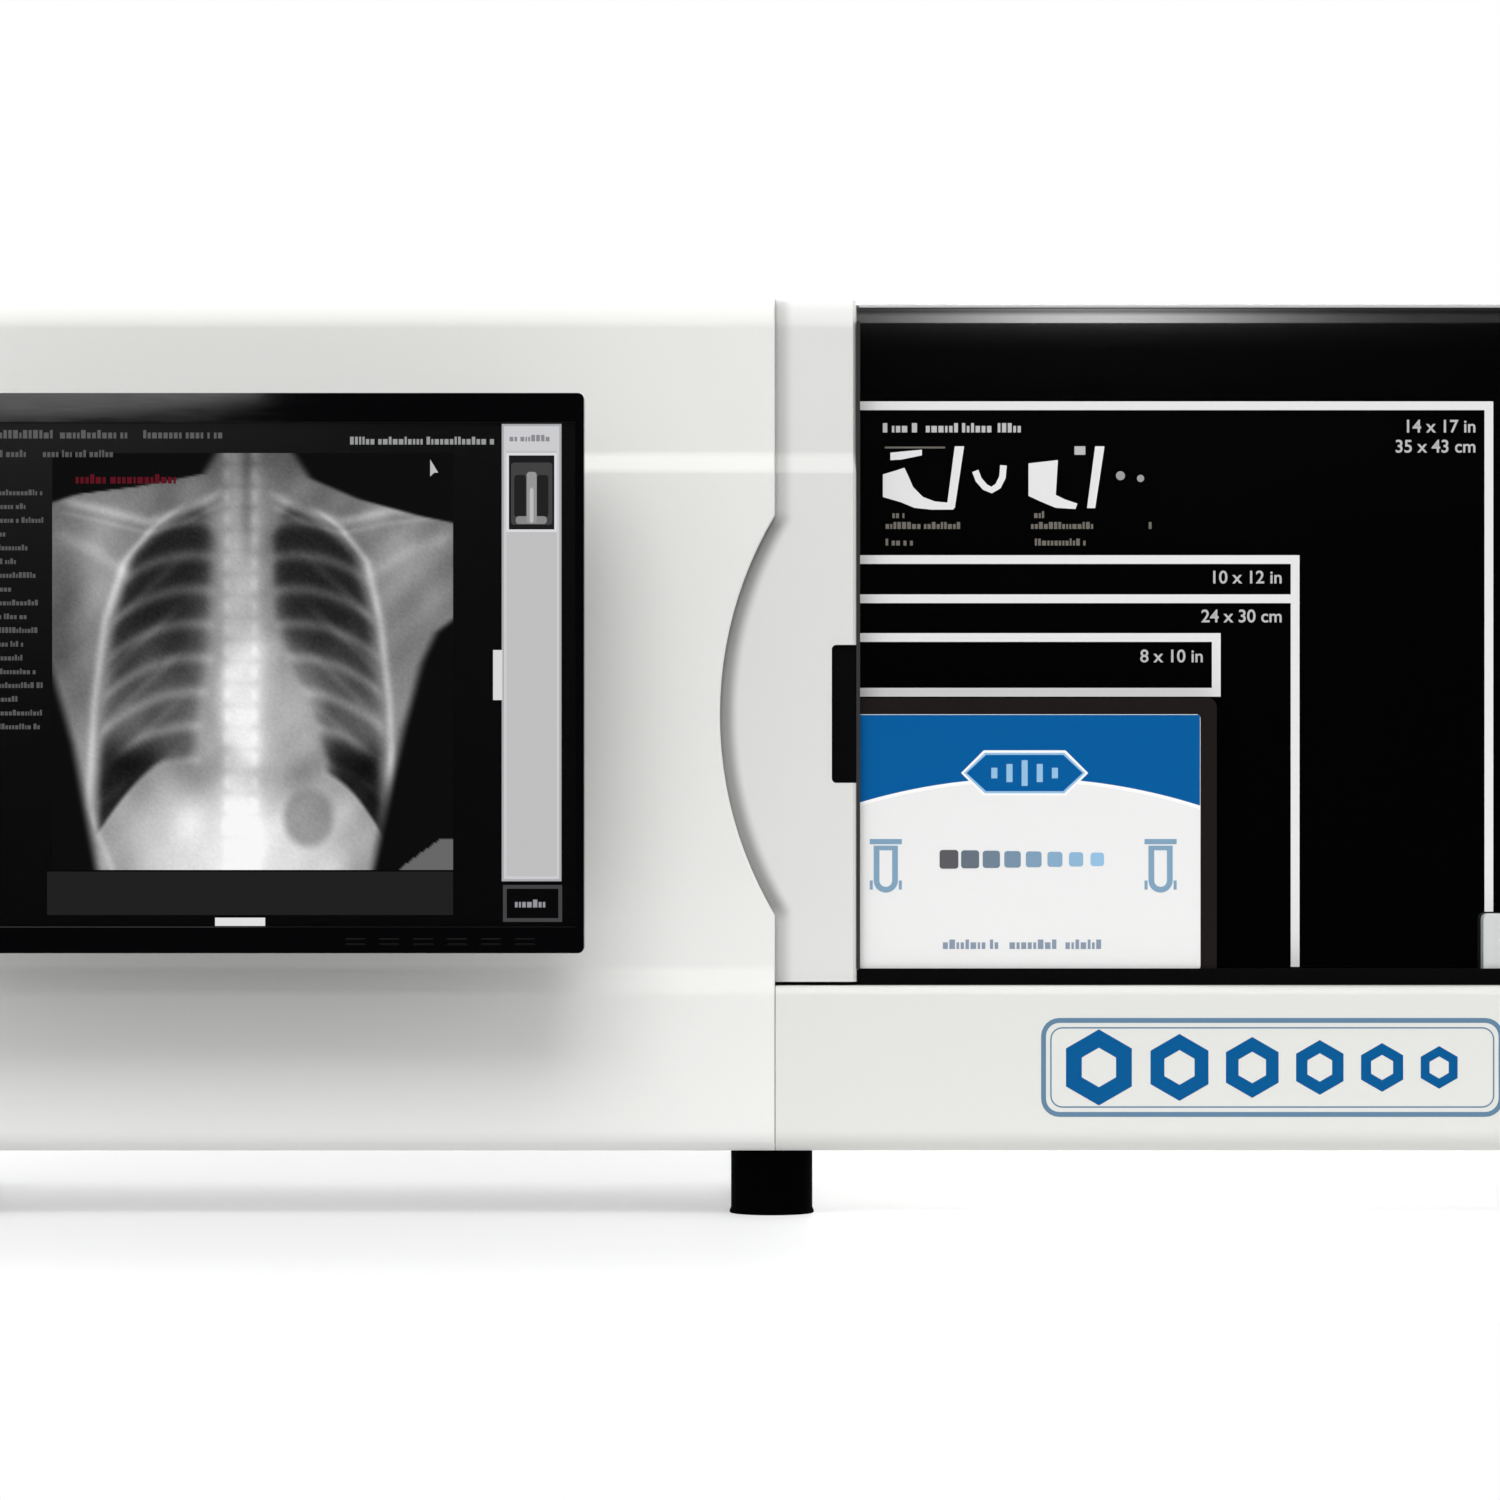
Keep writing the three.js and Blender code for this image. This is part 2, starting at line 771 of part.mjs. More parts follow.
function wingFrame() {
  const beamRight = wingWidth - beamEndSetback;
  const depth = [bottomRadius, bottomRadius + beamDepth];
  const height = [trayLevel, trayLevel + beamHeight];
  const inner = ([low, high]) => [low + beamWall, high - beamWall];
  const frameTop = panelTopLevel - uprightTopDrop;
  const uprightBack = [panelBack + seatGap, panelBack + seatGap + uprightDepth];
  const uprights = uprightPlaceShares.map((share) => {
    const across = span(share * wingWidth, uprightWidth);
    const channel = [uprightBack[0] + beamWall, uprightBack[1] + cutOverrun];
    return cut(
      block(across, uprightBack, [height[1] - beamWall, frameTop]),
      block(inner(across), channel, [height[1], frameTop + cutOverrun]),
    );
  });
  const flange = block([0, beamWall], [chassisBack + seatGap, depth[1]], [height[0], frameTop]);
  const beam = cut(
    block([0, beamRight], depth, height),
    block([-cutOverrun, beamRight + cutOverrun], inner(depth), inner(height)),
  );
  return join(beam, flange, ...uprights);
}

function cassetteRail() {
  const floor = [railFloorLevel, railFloorLevel + railWall];
  const lipFront = cassetteFront - railLipGap - railWall;
  const right = wingCoverRight - railSideGap;
  const section = [
    [lipFront, floor[0]],
    [panelFront - seatGap, floor[0]],
    [panelFront - seatGap, floor[1]],
    [lipFront + railWall, floor[1]],
    [lipFront + railWall, floor[0] + railLipHeight],
    [lipFront, floor[0] + railLipHeight],
  ];
  const lipStart = slotCoverReach + railWall / 2;
  const behindCover = [slotCoverFront + slotEdgeDepth + seatGap, panelFront - seatGap];
  const hiddenEnd = block([panelStart, lipStart + railWall], behindCover, floor);

  // A tab stands up behind the slot cover, and its tongue closes the finger notch
  const tabFront = slotCoverBack + seatGap;
  const tabDepth = [tabFront, tabFront + railTabWall];
  const notchLeft = slotCoverReach - notchWidth;
  const tabAcross = [notchLeft - railTabLap, slotCoverReach - slotEdgeRadius - seatGap];
  const tabTop = notchMiddleLevel + notchHeight / 2 + railTabLap;
  const tab = block(tabAcross, tabDepth, [floor[0], tabTop]);
  const tabFloor = block(tabAcross, [tabFront, panelFront - seatGap], floor);
  const tongueLevels = span(notchMiddleLevel, notchHeight - 2 * seatGap);
  const tongue = block([notchLeft, slotCoverReach - seatGap], tabDepth, tongueLevels);
  return join(alongX(section, [lipStart, right]), hiddenEnd, tab, tabFloor, tongue);
}

function endStop() {
  const foot = cassetteLevel;
  const outline = roundedRectangle([0, stopLength], [foot, foot + stopHeight], stopRadius);
  const depth = [cassetteFront, cassetteBack];
  const hollow = block(
    [stopPocketWall, stopLength - stopPocketWall],
    [depth[0] + stopPocketWall, depth[1] - stopPocketWall],
    [foot - cutOverrun, foot + stopHeight - stopPocketWall],
  );
  return cut(alongY(outline, depth), hollow);
}

function foot(radius) {
  const height = footHeight - seatGap;
  return turned([
    [0, 0],
    [radius + footFlare, 0],
    [radius + footFlare, footEdge],
    [radius, footFlareHeight],
    [radius, height - footEdge],
    [radius - footEdge, height],
    [0, height],
  ]);
}

// Monitor, drawn about its tilt pivot

const faceDepth = pivotProud - monitorProud;
const bezelBack = faceDepth + bezelDepth;
const shellFront = bezelBack + seatGap;
const shellBack = shellFront + shellDepth;
const halfWidth = monitorWidth / 2;
const halfHeight = monitorHeight / 2;
const windowSides = [bezelSide - halfWidth, halfWidth - bezelSide];
const windowLevels = [bezelBottom - halfHeight, halfHeight - bezelTop];
const keyOffset = (key) => (key - (keyCount - 1) / 2) * keyPitch;
const keyPlaces = Array.from({ length: keyCount }, (_, key) => keyRowPlace + keyOffset(key));
const keyLevel = keyRowRise - halfHeight;

function monitorBezel() {
  const full = roundedRectangle([-halfWidth, halfWidth], [-halfHeight, halfHeight], bezelRadius);
  const within = coverWall;
  const hollow = block(
    [within - halfWidth, halfWidth - within],
    [faceDepth + coverWall, bezelBack + cutOverrun],
    [within - halfHeight, halfHeight - within],
  );
  const through = [faceDepth - cutOverrun, faceDepth + coverWall + cutOverrun];
  const keySlots = keyPlaces.map((place) =>
    block(span(place, keyWidth + 2 * seatGap), through, span(keyLevel, keyHeight + 2 * seatGap)),
  );
  const window = block(windowSides, through, windowLevels);
  return cut(alongY(full, [faceDepth, bezelBack]), hollow, window, ...keySlots);
}

function monitorScreen() {
  const front = faceDepth + coverWall + seatGap;
  const across = [windowSides[0] - screenLap + seatGap, windowSides[1] + screenLap - seatGap];
  const up = [windowLevels[0] - screenLap, windowLevels[1] + screenLap];
  const rim = block(across, [front, front + screenThickness], up);
  const recess = block(
    [across[0] + bezelTop, across[1] - bezelTop],
    [front + screenThickness - coverWall / 2, front + screenThickness + cutOverrun],
    [up[0] + bezelTop, up[1] - bezelTop],
  );
  return cut(rim, recess);
}

function monitorRearShell() {
  const shell = (inset) => {
    const front = roundedRectangle(
      [inset - halfWidth, halfWidth - inset],
      [inset - halfHeight, halfHeight - inset],
      bezelRadius,
    );
    const back = roundedRectangle(
      span(0, shellBackWidth - 2 * inset),
      span(0, shellBackHeight - 2 * inset),
      shellBackRadius,
    );
    return [front, front, back];
  };
  const [outerFront, outerRim, outerBack] = shell(0);
  const [innerFront, innerRim, innerBack] = shell(coverWall);
  const outer = loftAlongY([
    [shellFront, outerFront],
    [shellFront + shellRim, outerRim],
    [shellBack, outerBack],
  ]);
  const inner = loftAlongY([
    [shellFront - cutOverrun, innerFront],
    [shellFront + shellRim, innerRim],
    [shellBack - coverWall, innerBack],
  ]);
  const screenBack = faceDepth + coverWall + 2 * seatGap + screenThickness;
  const postPlace = screenPostWidthShare * monitorWidth;
  const postLevel = screenPostHeightShare * monitorHeight;
  const posts = [-postPlace, postPlace].flatMap((place) =>
    [-postLevel, postLevel].map((level) =>
      alongY(circle([place, level], screenPostRadius, roundSides / 2), [
        screenBack - coverWall / 2,
        shellBack - coverWall / 2,
      ]),
    ),
  );
  const vents = Array.from({ length: shellVentCount }, (_, vent) =>
    block(
      span((vent - (shellVentCount - 1) / 2) * shellVentPitch, shellVentWidth),
      [shellFront + shellRim, shellBack],
      [shellBackHeight / 2 + shellVentWidth, shellBackHeight / 2 + shellVentLength],
    ),
  );
  return join(cut(outer, inner, ...vents), ...posts);
}

function monitorKey() {
  const flangeDepth = faceDepth + coverWall + seatGap;
  const cap = block(span(0, keyWidth), [faceDepth, flangeDepth + seatGap], span(0, keyHeight));
  const flange = block(
    span(0, keyWidth + 2 * keyFlange),
    [flangeDepth, flangeDepth + keyFlangeThickness],
    span(0, keyHeight + 2 * keyFlange),
  );
  return join(cap, flange);
}

// An ear that narrows from its root on a plate to a round tip about the pin.
function pivotEar(rootDepth) {
  const tip = rootDepth > 0 ? [-90, -270] : [90, -90];
  const side = rootDepth > 0 ? 1 : -1;
  return [
    ...arcPoints([0, 0], earTipRadius, tip, 2 * cornerSteps),
    [rootDepth, side * earRootHalfHeight],
    [rootDepth, -side * earRootHalfHeight],
  ];
}

function earPair(outline, outerSpan) {
  const hole = circle([0, 0], pinRadius + seatGap);
  return [-1, 1].map((side) => alongX(outline, span((side * (outerSpan + earWall)) / 2, earWall), [hole]));
}

const bracketEarSpan = headEarSpan + 2 * (earWall + earPlay);

function monitorWallBracket() {
  const back = pivotProud - seatGap;
  const plate = alongY(
    roundedRectangle(span(0, mountPlateWidth), span(0, mountPlateHeight), mountPlateRadius),
    [back - mountPlateWall, back],
  );
  return join(plate, ...earPair(pivotEar(back - mountPlateWall / 2), bracketEarSpan));
}

function monitorTiltHead() {
  const front = shellBack + seatGap;
  const plate = alongY(
    roundedRectangle(span(0, headPlateSize), span(0, headPlateSize), mountPlateRadius),
    [front, front + mountPlateWall],
  );
  return join(plate, ...earPair(pivotEar(front + mountPlateWall / 2), headEarSpan));
}

function monitorPivotPin() {
  const reach = bracketEarSpan / 2 + earWall + seatGap;
  return join(
    alongX(circle([0, 0], pinRadius), [-reach - pinHeadLength, reach + pinHeadLength / 2]),
    alongX(circle([0, 0], pinHeadRadius), [reach, reach + pinHeadLength]),
    alongX(circle([0, 0], pinHeadRadius), [-reach - pinHeadLength, -reach]),
  );
}

function addMonitor(machine) {
  const mount = group(machine, [monitorPlace, -pivotProud, monitorLevel]);
  piece("monitor_wall_bracket", "zincSteel", monitorWallBracket(), mount);
  piece("monitor_pivot_pin", "zincSteel", monitorPivotPin(), mount);
  const monitor = group(mount);
  piece("monitor_tilt_head", "zincSteel", monitorTiltHead(), monitor);
  piece("monitor_rear_shell", "blackPlastic", monitorRearShell(), monitor);
  piece("monitor_screen", "darkGlass", monitorScreen(), monitor);
  piece("monitor_bezel", "blackGloss", monitorBezel(), monitor);
  keyPlaces.forEach((place, key) => {
    piece(`monitor_key_${key + 1}`, "blackPlastic", monitorKey(), monitor, [place, 0, keyLevel]);
  });
}

// Cassette, drawn from its lower left front corner

const plateFoot = cassetteEdgeWall + seatGap;
const plateDepth = span(cassetteThickness / 2, plateThickness);
const labelSides = [labelLeftBorder, cassetteWidth - labelBorder];
const labelLevels = [labelFootBorder, cassetteHeight - labelBorder];

function cassetteShell() {
  const outline = roundedRectangle([0, cassetteWidth], [0, cassetteHeight], cassetteRadius);
  const chamber = block(
    [-cutOverrun, plateInset + plateWidth + seatGap],
    [plateDepth[0] - cassetteMouthSlack / 2, plateDepth[1] + cassetteMouthSlack / 2],
    [plateFoot - seatGap, plateFoot + plateHeight + seatGap],
  );
  const labelSeat = alongY(roundedRectangle(labelSides, labelLevels, labelRadius), [
    -cutOverrun,
    labelThickness + seatGap,
  ]);
  return cut(alongY(outline, [0, cassetteThickness]), chamber, labelSeat);
}

function cassetteFrontPanel() {
  const inner = ([low, high]) => [low + seatGap, high - seatGap];
  const outline = roundedRectangle(inner(labelSides), inner(labelLevels), labelRadius - seatGap);
  return alongY(outline, [0, labelThickness]);
}

function addCassette(machine) {
  const cassette = group(machine, [cassettePlace, cassetteFront, cassetteLevel]);
  piece("cassette_shell", "blackPlastic", cassetteShell(), cassette);
  piece("cassette_front_panel", "whiteLabel", cassetteFrontPanel(), cassette);
  const plate = alongY(
    roundedRectangle([0, plateWidth], [0, plateHeight], labelRadius),
    span(0, plateThickness),
  );
  piece("imaging_plate", "phosphor", plate, cassette, [plateInset, cassetteThickness / 2, plateFoot]);
}

// Chassis and platen

const plateBackFace = plateMiddle + plateThickness / 2;
const plateFrontFace = plateMiddle - plateThickness / 2;
const feedDepth = plateBackFace + seatGap + feedRollerRadius;
const pinchDepth = plateFrontFace - seatGap - pinchRollerRadius;
const tabLevels = [readFootLevel - 3 * rollerTabThickness, readTopLevel];
const beltDepth = [chassisFront - beltBackGap - beltWidth, chassisFront - beltBackGap];
const pulleyRoom = pulleyFlange + seatGap;

function chassisPlate() {
  const top = topLevel - chassisTopDrop;
  const sheet = block([chassisLeft, -seatGap], [chassisFront, chassisBack], [trayFloorLevel, top]);
  const flange = block(
    [chassisLeft, -plateWall - 2 * seatGap],
    [chassisFront, chassisBack + chassisFlange],
    [trayFloorLevel, trayFloorLevel + plateWall],
  );
  const slit = block(
    span(slitPlace, slitWidth),
    [chassisFront - cutOverrun, chassisBack + cutOverrun],
    [readFootLevel, readTopLevel],
  );
  const eraseWindow = block(
    span(eraseWindowPlace, eraseWindowWidth - 4 * lampHousingWall),
    [chassisFront - cutOverrun, chassisBack + cutOverrun],
    [readFootLevel + lampEndWall, readTopLevel - lampEndWall],
  );
  const tabs = tabLevels.map((level) => {
    const across = [-seatGap - rollerTabWidth, -seatGap];
    const depth = [pinchDepth - rollerTabFrontWall, chassisFront + plateWall / 2];
    const tab = block(across, depth, [level, level + rollerTabThickness]);
    const bores = [feedDepth, pinchDepth].map((place) =>
      alongZ(circle([rollerPlace, place], journalRadius + seatGap, roundSides / 2), [
        level - cutOverrun,
        level + rollerTabThickness + cutOverrun,
      ]),
    );
    return cut(tab, ...bores);
  });
  const stud = alongY(circle([idlerPlace, beltLevel], studRadius), [
    beltDepth[0] - pulleyRoom,
    chassisFront + plateWall / 2,
  ]);
  const shaftHole = alongY(circle([drivePlace, beltLevel], shaftRadius + 2 * seatGap), [
    chassisFront - cutOverrun,
    chassisBack + cutOverrun,
  ]);
  return join(cut(join(sheet, flange), slit, eraseWindow, shaftHole), stud, ...tabs);
}

function platen() {
  const back = plateFrontFace - platenPlateGap;
  const depth = [back - platenWall, back];
  const left = capInside + platenLeftGap;
  const right = slitPlace - slitWidth / 2;
  const levels = [readFootLevel, readTopLevel + platenTopRise];
  const toChassis = [depth[0], chassisFront - seatGap];
  return join(
    block([left, right], depth, levels),
    block([left, right], toChassis, [levels[1] - platenWall, levels[1]]),
    block([left, left + platenWall], toChassis, levels),
  );
}

// Rollers, belt, rail, carriage and motor

function roller(radius) {
  const foot = tabLevels[0] + rollerTabThickness + seatGap;
  const top = tabLevels[1] - seatGap;
  return turned([
    [0, foot - journalReach],
    [journalRadius, foot - journalReach],
    [journalRadius, foot],
    [radius, foot],
    [radius, top],
    [journalRadius, top],
    [journalRadius, top + journalReach],
    [0, top + journalReach],
  ]);
}

function pulley(boreRadius, shaftLength) {
  const flangeRadius = pulleyRadius + seatGap + beltThickness;
  const flanges = [
    [beltDepth[0] - pulleyRoom, beltDepth[0] - seatGap],
    [beltDepth[1] + seatGap, beltDepth[1] + pulleyRoom],
  ].map((depth) => alongY(circle([0, 0], flangeRadius), depth));
  const drum = alongY(circle([0, 0], pulleyRadius), [beltDepth[0] - pulleyRoom, beltDepth[1] + pulleyRoom]);
  const whole = join(drum, ...flanges);
  const axle = alongY(circle([0, 0], boreRadius), [
    shaftLength ? beltDepth[1] : beltDepth[0] - pulleyRoom - cutOverrun,
    beltDepth[1] + pulleyRoom + (shaftLength || cutOverrun),
  ]);
  return shaftLength ? join(whole, axle) : cut(whole, axle);
}

// The loop of belt about both pulleys, at a given distance from their axes.
function beltLoop(radius) {
  return [
    ...arcPoints([idlerPlace, beltLevel], radius, [-90, 90], 2 * cornerSteps),
    ...arcPoints([drivePlace, beltLevel], radius, [90, 270], 2 * cornerSteps),
  ];
}

function timingBelt() {
  const inner = pulleyRadius + seatGap;
  return alongY(beltLoop(inner + beltThickness), beltDepth, [beltLoop(inner)]);
}

function transportMotor() {
  const front = chassisBack + seatGap;
  const body = alongY(roundedRectangle(span(0, motorSize), span(0, motorSize), motorCorner), [
    front,
    front + motorLength,
  ]);
  const bore = alongY(circle([0, 0], shaftRadius + seatGap), [front - cutOverrun, front + motorBoreDepth]);
  return cut(body, bore);
}

const railBack = chassisFront - seatGap;
const railFront = railBack - railDepth;
const railTop = railLevel + railHeight;

// The rail's section: a bar with a groove along each of its upper and lower faces.
function railOutline(inset) {
  const middle = (railFront + railBack) / 2;
  const low = railLevel - inset;
  const high = railTop + inset;
  return [
    [railFront - inset, low],
    [middle - railGroove - inset, low],
    [middle, low + railGroove],
    [middle + railGroove + inset, low],
    [railBack, low],
    [railBack, high],
    [middle + railGroove + inset, high],
    [middle, high - railGroove],
    [middle - railGroove - inset, high],
    [railFront - inset, high],
  ];
}

function plateCarriage() {
  const right = carriagePlace + carriageLength;
  const across = [carriagePlace, right];
  const blockFront = railFront - carriageWall;
  const blockTop = railTop + carriageWall;
  const blockFoot = railLevel - carriageWall;
  const body = block(across, [blockFront, railBack - seatGap], [blockFoot, blockTop]);
  const railRoom = block(
    [across[0] - cutOverrun, right + cutOverrun],
    [railFront - seatGap, railBack + cutOverrun],
    [railLevel - seatGap, railTop + seatGap],
  );
  const armDepth = [plateMiddle - carriageArmDepth / 2, plateMiddle + carriageArmDepth / 2];
  const armAcross = [carriagePlace, carriagePlace + carriageArmWidth];
  const arm = block(armAcross, armDepth, [blockTop - carriageWall, carriageArmTop]);
  const blade = block(
    [carriagePlace + carriageArmWidth - cutOverrun, cassettePlace + plateInset - seatGap],
    span(plateMiddle, plateThickness),
    [bladeFoot, carriageArmTop],
  );
  const beltTop = beltLevel + pulleyRadius + seatGap + beltThickness;
  const clamp = block(across, [beltDepth[0], railFront], [beltTop + seatGap, blockFoot + carriageWall / 2]);
  return join(cut(body, railRoom), arm, blade, clamp);
}

function addTransport(machine) {
  const railEnds = [chassisLeft, -railRightGap];
  piece("linear_rail", "zincSteel", alongX(railOutline(0), railEnds), machine);
  piece("plate_carriage", "aluminium", plateCarriage(), machine);
  piece("timing_belt", "rubber", timingBelt(), machine);
  const shaft = chassisBack - beltDepth[1] + motorBoreDepth - pulleyRoom;
  piece("drive_pulley", "aluminium", pulley(shaftRadius, shaft), machine, [drivePlace, 0, beltLevel]);
  piece("idler_pulley", "aluminium", pulley(studRadius + seatGap, 0), machine, [idlerPlace, 0, beltLevel]);
  piece("transport_motor", "blackPlastic", transportMotor(), machine, [drivePlace, 0, beltLevel]);
  piece("feed_roller", "rubber", roller(feedRollerRadius), machine, [rollerPlace, feedDepth, 0]);
  piece("pinch_roller", "rubber", roller(pinchRollerRadius), machine, [rollerPlace, pinchDepth, 0]);
}

// Optics: the laser sweeps up and down off the polygon, through the lens and the fold mirror to the slit

const opticsFace = chassisBack + seatGap;
const beamPlane = opticsPlateDepth - beamPlaneGap;
const mirrorSum = slitPlace + beamPlane;

function opticsPlate() {
  const sheet = alongY(roundedRectangle([opticsLeft, opticsRight], [opticsFoot, opticsTop], opticsRadius), [
    opticsPlateDepth,
    opticsPlateDepth + opticsPlateWall,
  ]);
  const posts = [opticsLeft + postInset, postRightPlace].flatMap((place) =>
    [opticsFoot + postInset, opticsTop - postInset].map((level) =>
      alongY(circle([place, level], postRadius), [opticsFace, opticsPlateDepth + opticsPlateWall / 2]),
    ),
  );
  const backSum = mirrorSum + Math.SQRT2 * (foldMirrorThickness + seatGap);
  const wedgeBack = opticsPlateDepth + opticsPlateWall / 2;
  const wedge = alongZ(
    [
      [backSum - wedgeBack, wedgeBack],
      [wedgeRightPlace, wedgeBack],
      [wedgeRightPlace, backSum - wedgeRightPlace],
    ],
    [opticsFoot, opticsTop],
  );
  const lensPad = block(
    span(lensPlace + lensThickness / 2, lensPadWidth),
    [beamPlane + lensDepth / 2 + seatGap, wedgeBack],
    span(polygonLevel, lensHeight + lensThickness),
  );
  return join(sheet, wedge, lensPad, ...posts);
}

function laserModule() {
  const blockTop = laserFoot + laserBlockHeight;
  const depth = [beamPlane - laserBlockSize / 2, opticsPlateDepth - seatGap];
  const outline = roundedRectangle(span(0, laserBlockSize), depth, laserBarrelRadius / 3);
  const body = alongZ(outline, [laserFoot, blockTop]);
  const barrelTop = blockTop + laserBarrelLength;
  const barrel = alongZ(circle([0, beamPlane], laserBarrelRadius), [laserFoot, barrelTop]);
  const bore = alongZ(circle([0, beamPlane], laserBarrelRadius / 2), [blockTop, barrelTop + cutOverrun]);
  return cut(join(body, barrel), bore);
}

function polygonMirror() {
  const depth = span(beamPlane, polygonHeight);
  const halfFacet = 180 / polygonFacets;
  const corners = arcPoints([0, 0], polygonRadius, [halfFacet, 360 - halfFacet], polygonFacets - 1);
  const mirror = alongY(corners, depth);
  const hubDepth = [depth[0] - polygonHeight / 4, depth[1] + polygonHeight / 2];
  const hub = alongY(circle([0, 0], polygonHubRadius), hubDepth);
  return join(mirror, hub);
}

function polygonMotor() {
  const front = beamPlane + polygonHeight + seatGap;
  const height = opticsPlateDepth - seatGap - front;
  const profile = [
    [0, 0],
    [spindleRadius, 0],
    [spindleRadius, height - spindleChamfer],
    [spindleRadius - spindleChamfer, height],
    [0, height],
  ];
  return turned(profile).rotateX(Math.PI / 2).translate(0, front + height, 0);
}

function scanLens() {
  const [foot, top] = span(polygonLevel, lensHeight);
  const radius = ((lensHeight / 2) ** 2 + lensBulge ** 2) / (2 * lensBulge);
  const half = THREE.MathUtils.radToDeg(Math.asin(lensHeight / 2 / radius));
  const flat = lensPlace;
  const outline = [
    [flat, foot],
    ...arcPoints([flat + lensThickness - radius, polygonLevel], radius, [-half, half], 2 * cornerSteps),
    [flat, top],
  ];
  return alongY(outline, span(beamPlane, lensDepth));
}

function foldMirror() {
  const mirror = new THREE.BoxGeometry(foldMirrorWidth, foldMirrorThickness, readTopLevel - readFootLevel);
  return mirror.translate(0, foldMirrorThickness / 2, 0);
}

function lightGuide() {
  const mouth = slitPlace - slitWidth / 2 - guideMouthGap;
  const tip = mouth - guideLength;
  const [tipFoot, tipTop] = span((readFootLevel + readTopLevel) / 2, guideTipHeight);
  const outline = [
    [mouth, readFootLevel],
    [mouth, readTopLevel],
    [tip, tipTop],
    [tip, tipFoot],
  ];
  return alongY(outline, [opticsFace, opticsFace + guideDepth]);
}

function photomultiplier() {
  const right = slitPlace - slitWidth / 2 - guideMouthGap - guideLength - seatGap;
  const centre = [opticsFace + seatGap + photoTubeRadius, (readFootLevel + readTopLevel) / 2];
  const tube = alongX(circle(centre, photoTubeRadius), [right - photoTubeLength, right]);
  const cap = alongX(circle(centre, photoTubeRadius + seatGap), [right - photoTubeCapLength, right]);
  const saddle = block(
    span(right - photoTubeLength / 2, saddleWidth),
    [opticsFace, centre[0] - photoTubeRadius / 2],
    span(centre[1], saddleHeight),
  );
  return join(tube, cap, saddle);
}

function addOptics(machine) {
  piece("optics_plate", "aluminium", opticsPlate(), machine);
  piece("laser_module", "aluminium", laserModule(), machine, [laserPlace, 0, 0]);
  piece("polygon_motor", "zincSteel", polygonMotor(), machine, [polygonPlace, 0, polygonLevel]);
  piece("polygon_mirror", "mirror", polygonMirror(), machine, [polygonPlace, 0, polygonLevel]);
  piece("scan_lens", "clearAcrylic", scanLens(), machine);
  const middleLevel = (readFootLevel + readTopLevel) / 2;
  const mirror = piece("fold_mirror", "mirror", foldMirror(), machine, [slitPlace, beamPlane, middleLevel]);
  mirror.rotation.z = -Math.PI / 4;
  piece("light_guide", "clearAcrylic", lightGuide(), machine);
  piece("photomultiplier", "blackPlastic", photomultiplier(), machine);
}

// Erase lamps behind the chassis

function lampHousing() {
  const front = chassisBack + seatGap;
  const outline = (inset) => {
    const half = eraseWindowWidth / 2 - inset;
    const back = front + lampHousingDepth - inset;
    return [
      [-half, front],
      [-half, front + lampHousingShoulder],
      [lampHousingTaper - half, back],
      [half - lampHousingTaper, back],
      [half, front + lampHousingShoulder],
      [half, front],
    ];
  };
  const trough = cut(
    alongZ(outline(0), [readFootLevel, readTopLevel]),
    alongZ(outline(lampHousingWall), [readFootLevel + lampEndWall, readTopLevel - lampEndWall]),
  );
  const sockets = [-1, 1].map((side) =>
    alongZ(circle([(side * lampPitch) / 2, front + lampPlaneGap], lampRadius + seatGap), [
      readFootLevel - cutOverrun,
      readTopLevel + cutOverrun,
    ]),
  );
  return cut(trough, ...sockets);
}

function addEraseLamps(machine) {
  const bay = group(machine, [eraseWindowPlace, 0, 0]);
  piece("lamp_housing", "aluminium", lampHousing(), bay);
  const tubeEnds = [readFootLevel + lampSetback, readTopLevel - lampSetback];
  [-1, 1].forEach((side, lamp) => {
    const tube = alongZ(circle([0, 0], lampRadius), tubeEnds);
    const place = [(side * lampPitch) / 2, chassisBack + seatGap + lampPlaneGap, 0];
    piece(`lamp_tube_${lamp + 1}`, "phosphor", tube, bay, place);
  });
}

// Power supply, control board, fan and mains inlet

function powerSupply() {
  const back = cabinetDepth - supplyRearGap;
  const depth = [back - supplyDepth, back];
  const top = trayFloorLevel + supplyHeight;
  const right = supplyLeft + supplyWidth;
  const box = block([supplyLeft, right], depth, [trayFloorLevel, top]);
  const terminals = block(
    [supplyLeft - cutOverrun, supplyLeft + supplyTerminalDepth],
    [depth[0] + sheetWall, depth[1] - sheetWall],
    [top - supplyTerminalHeight, top + cutOverrun],
  );
  const ventPitch = (supplyWidth - 2 * supplyTerminalDepth) / supplyVentCount;
  const vents = Array.from({ length: supplyVentCount }, (_, vent) =>
    block(
      span(supplyLeft + 1.5 * supplyTerminalDepth + (vent + 0.5) * ventPitch, supplyVentWidth),
      [depth[0] + supplyTerminalDepth, depth[1] - supplyTerminalDepth],
      [top - supplyVentWidth, top + cutOverrun],
    ),
  );
  const chamber = block(
    [supplyLeft + supplyTerminalDepth + sheetWall, right - sheetWall],
    [depth[0] + sheetWall, depth[1] - sheetWall],
    [trayFloorLevel + sheetWall, top - sheetWall],
  );
  return cut(box, terminals, chamber, ...vents);
}

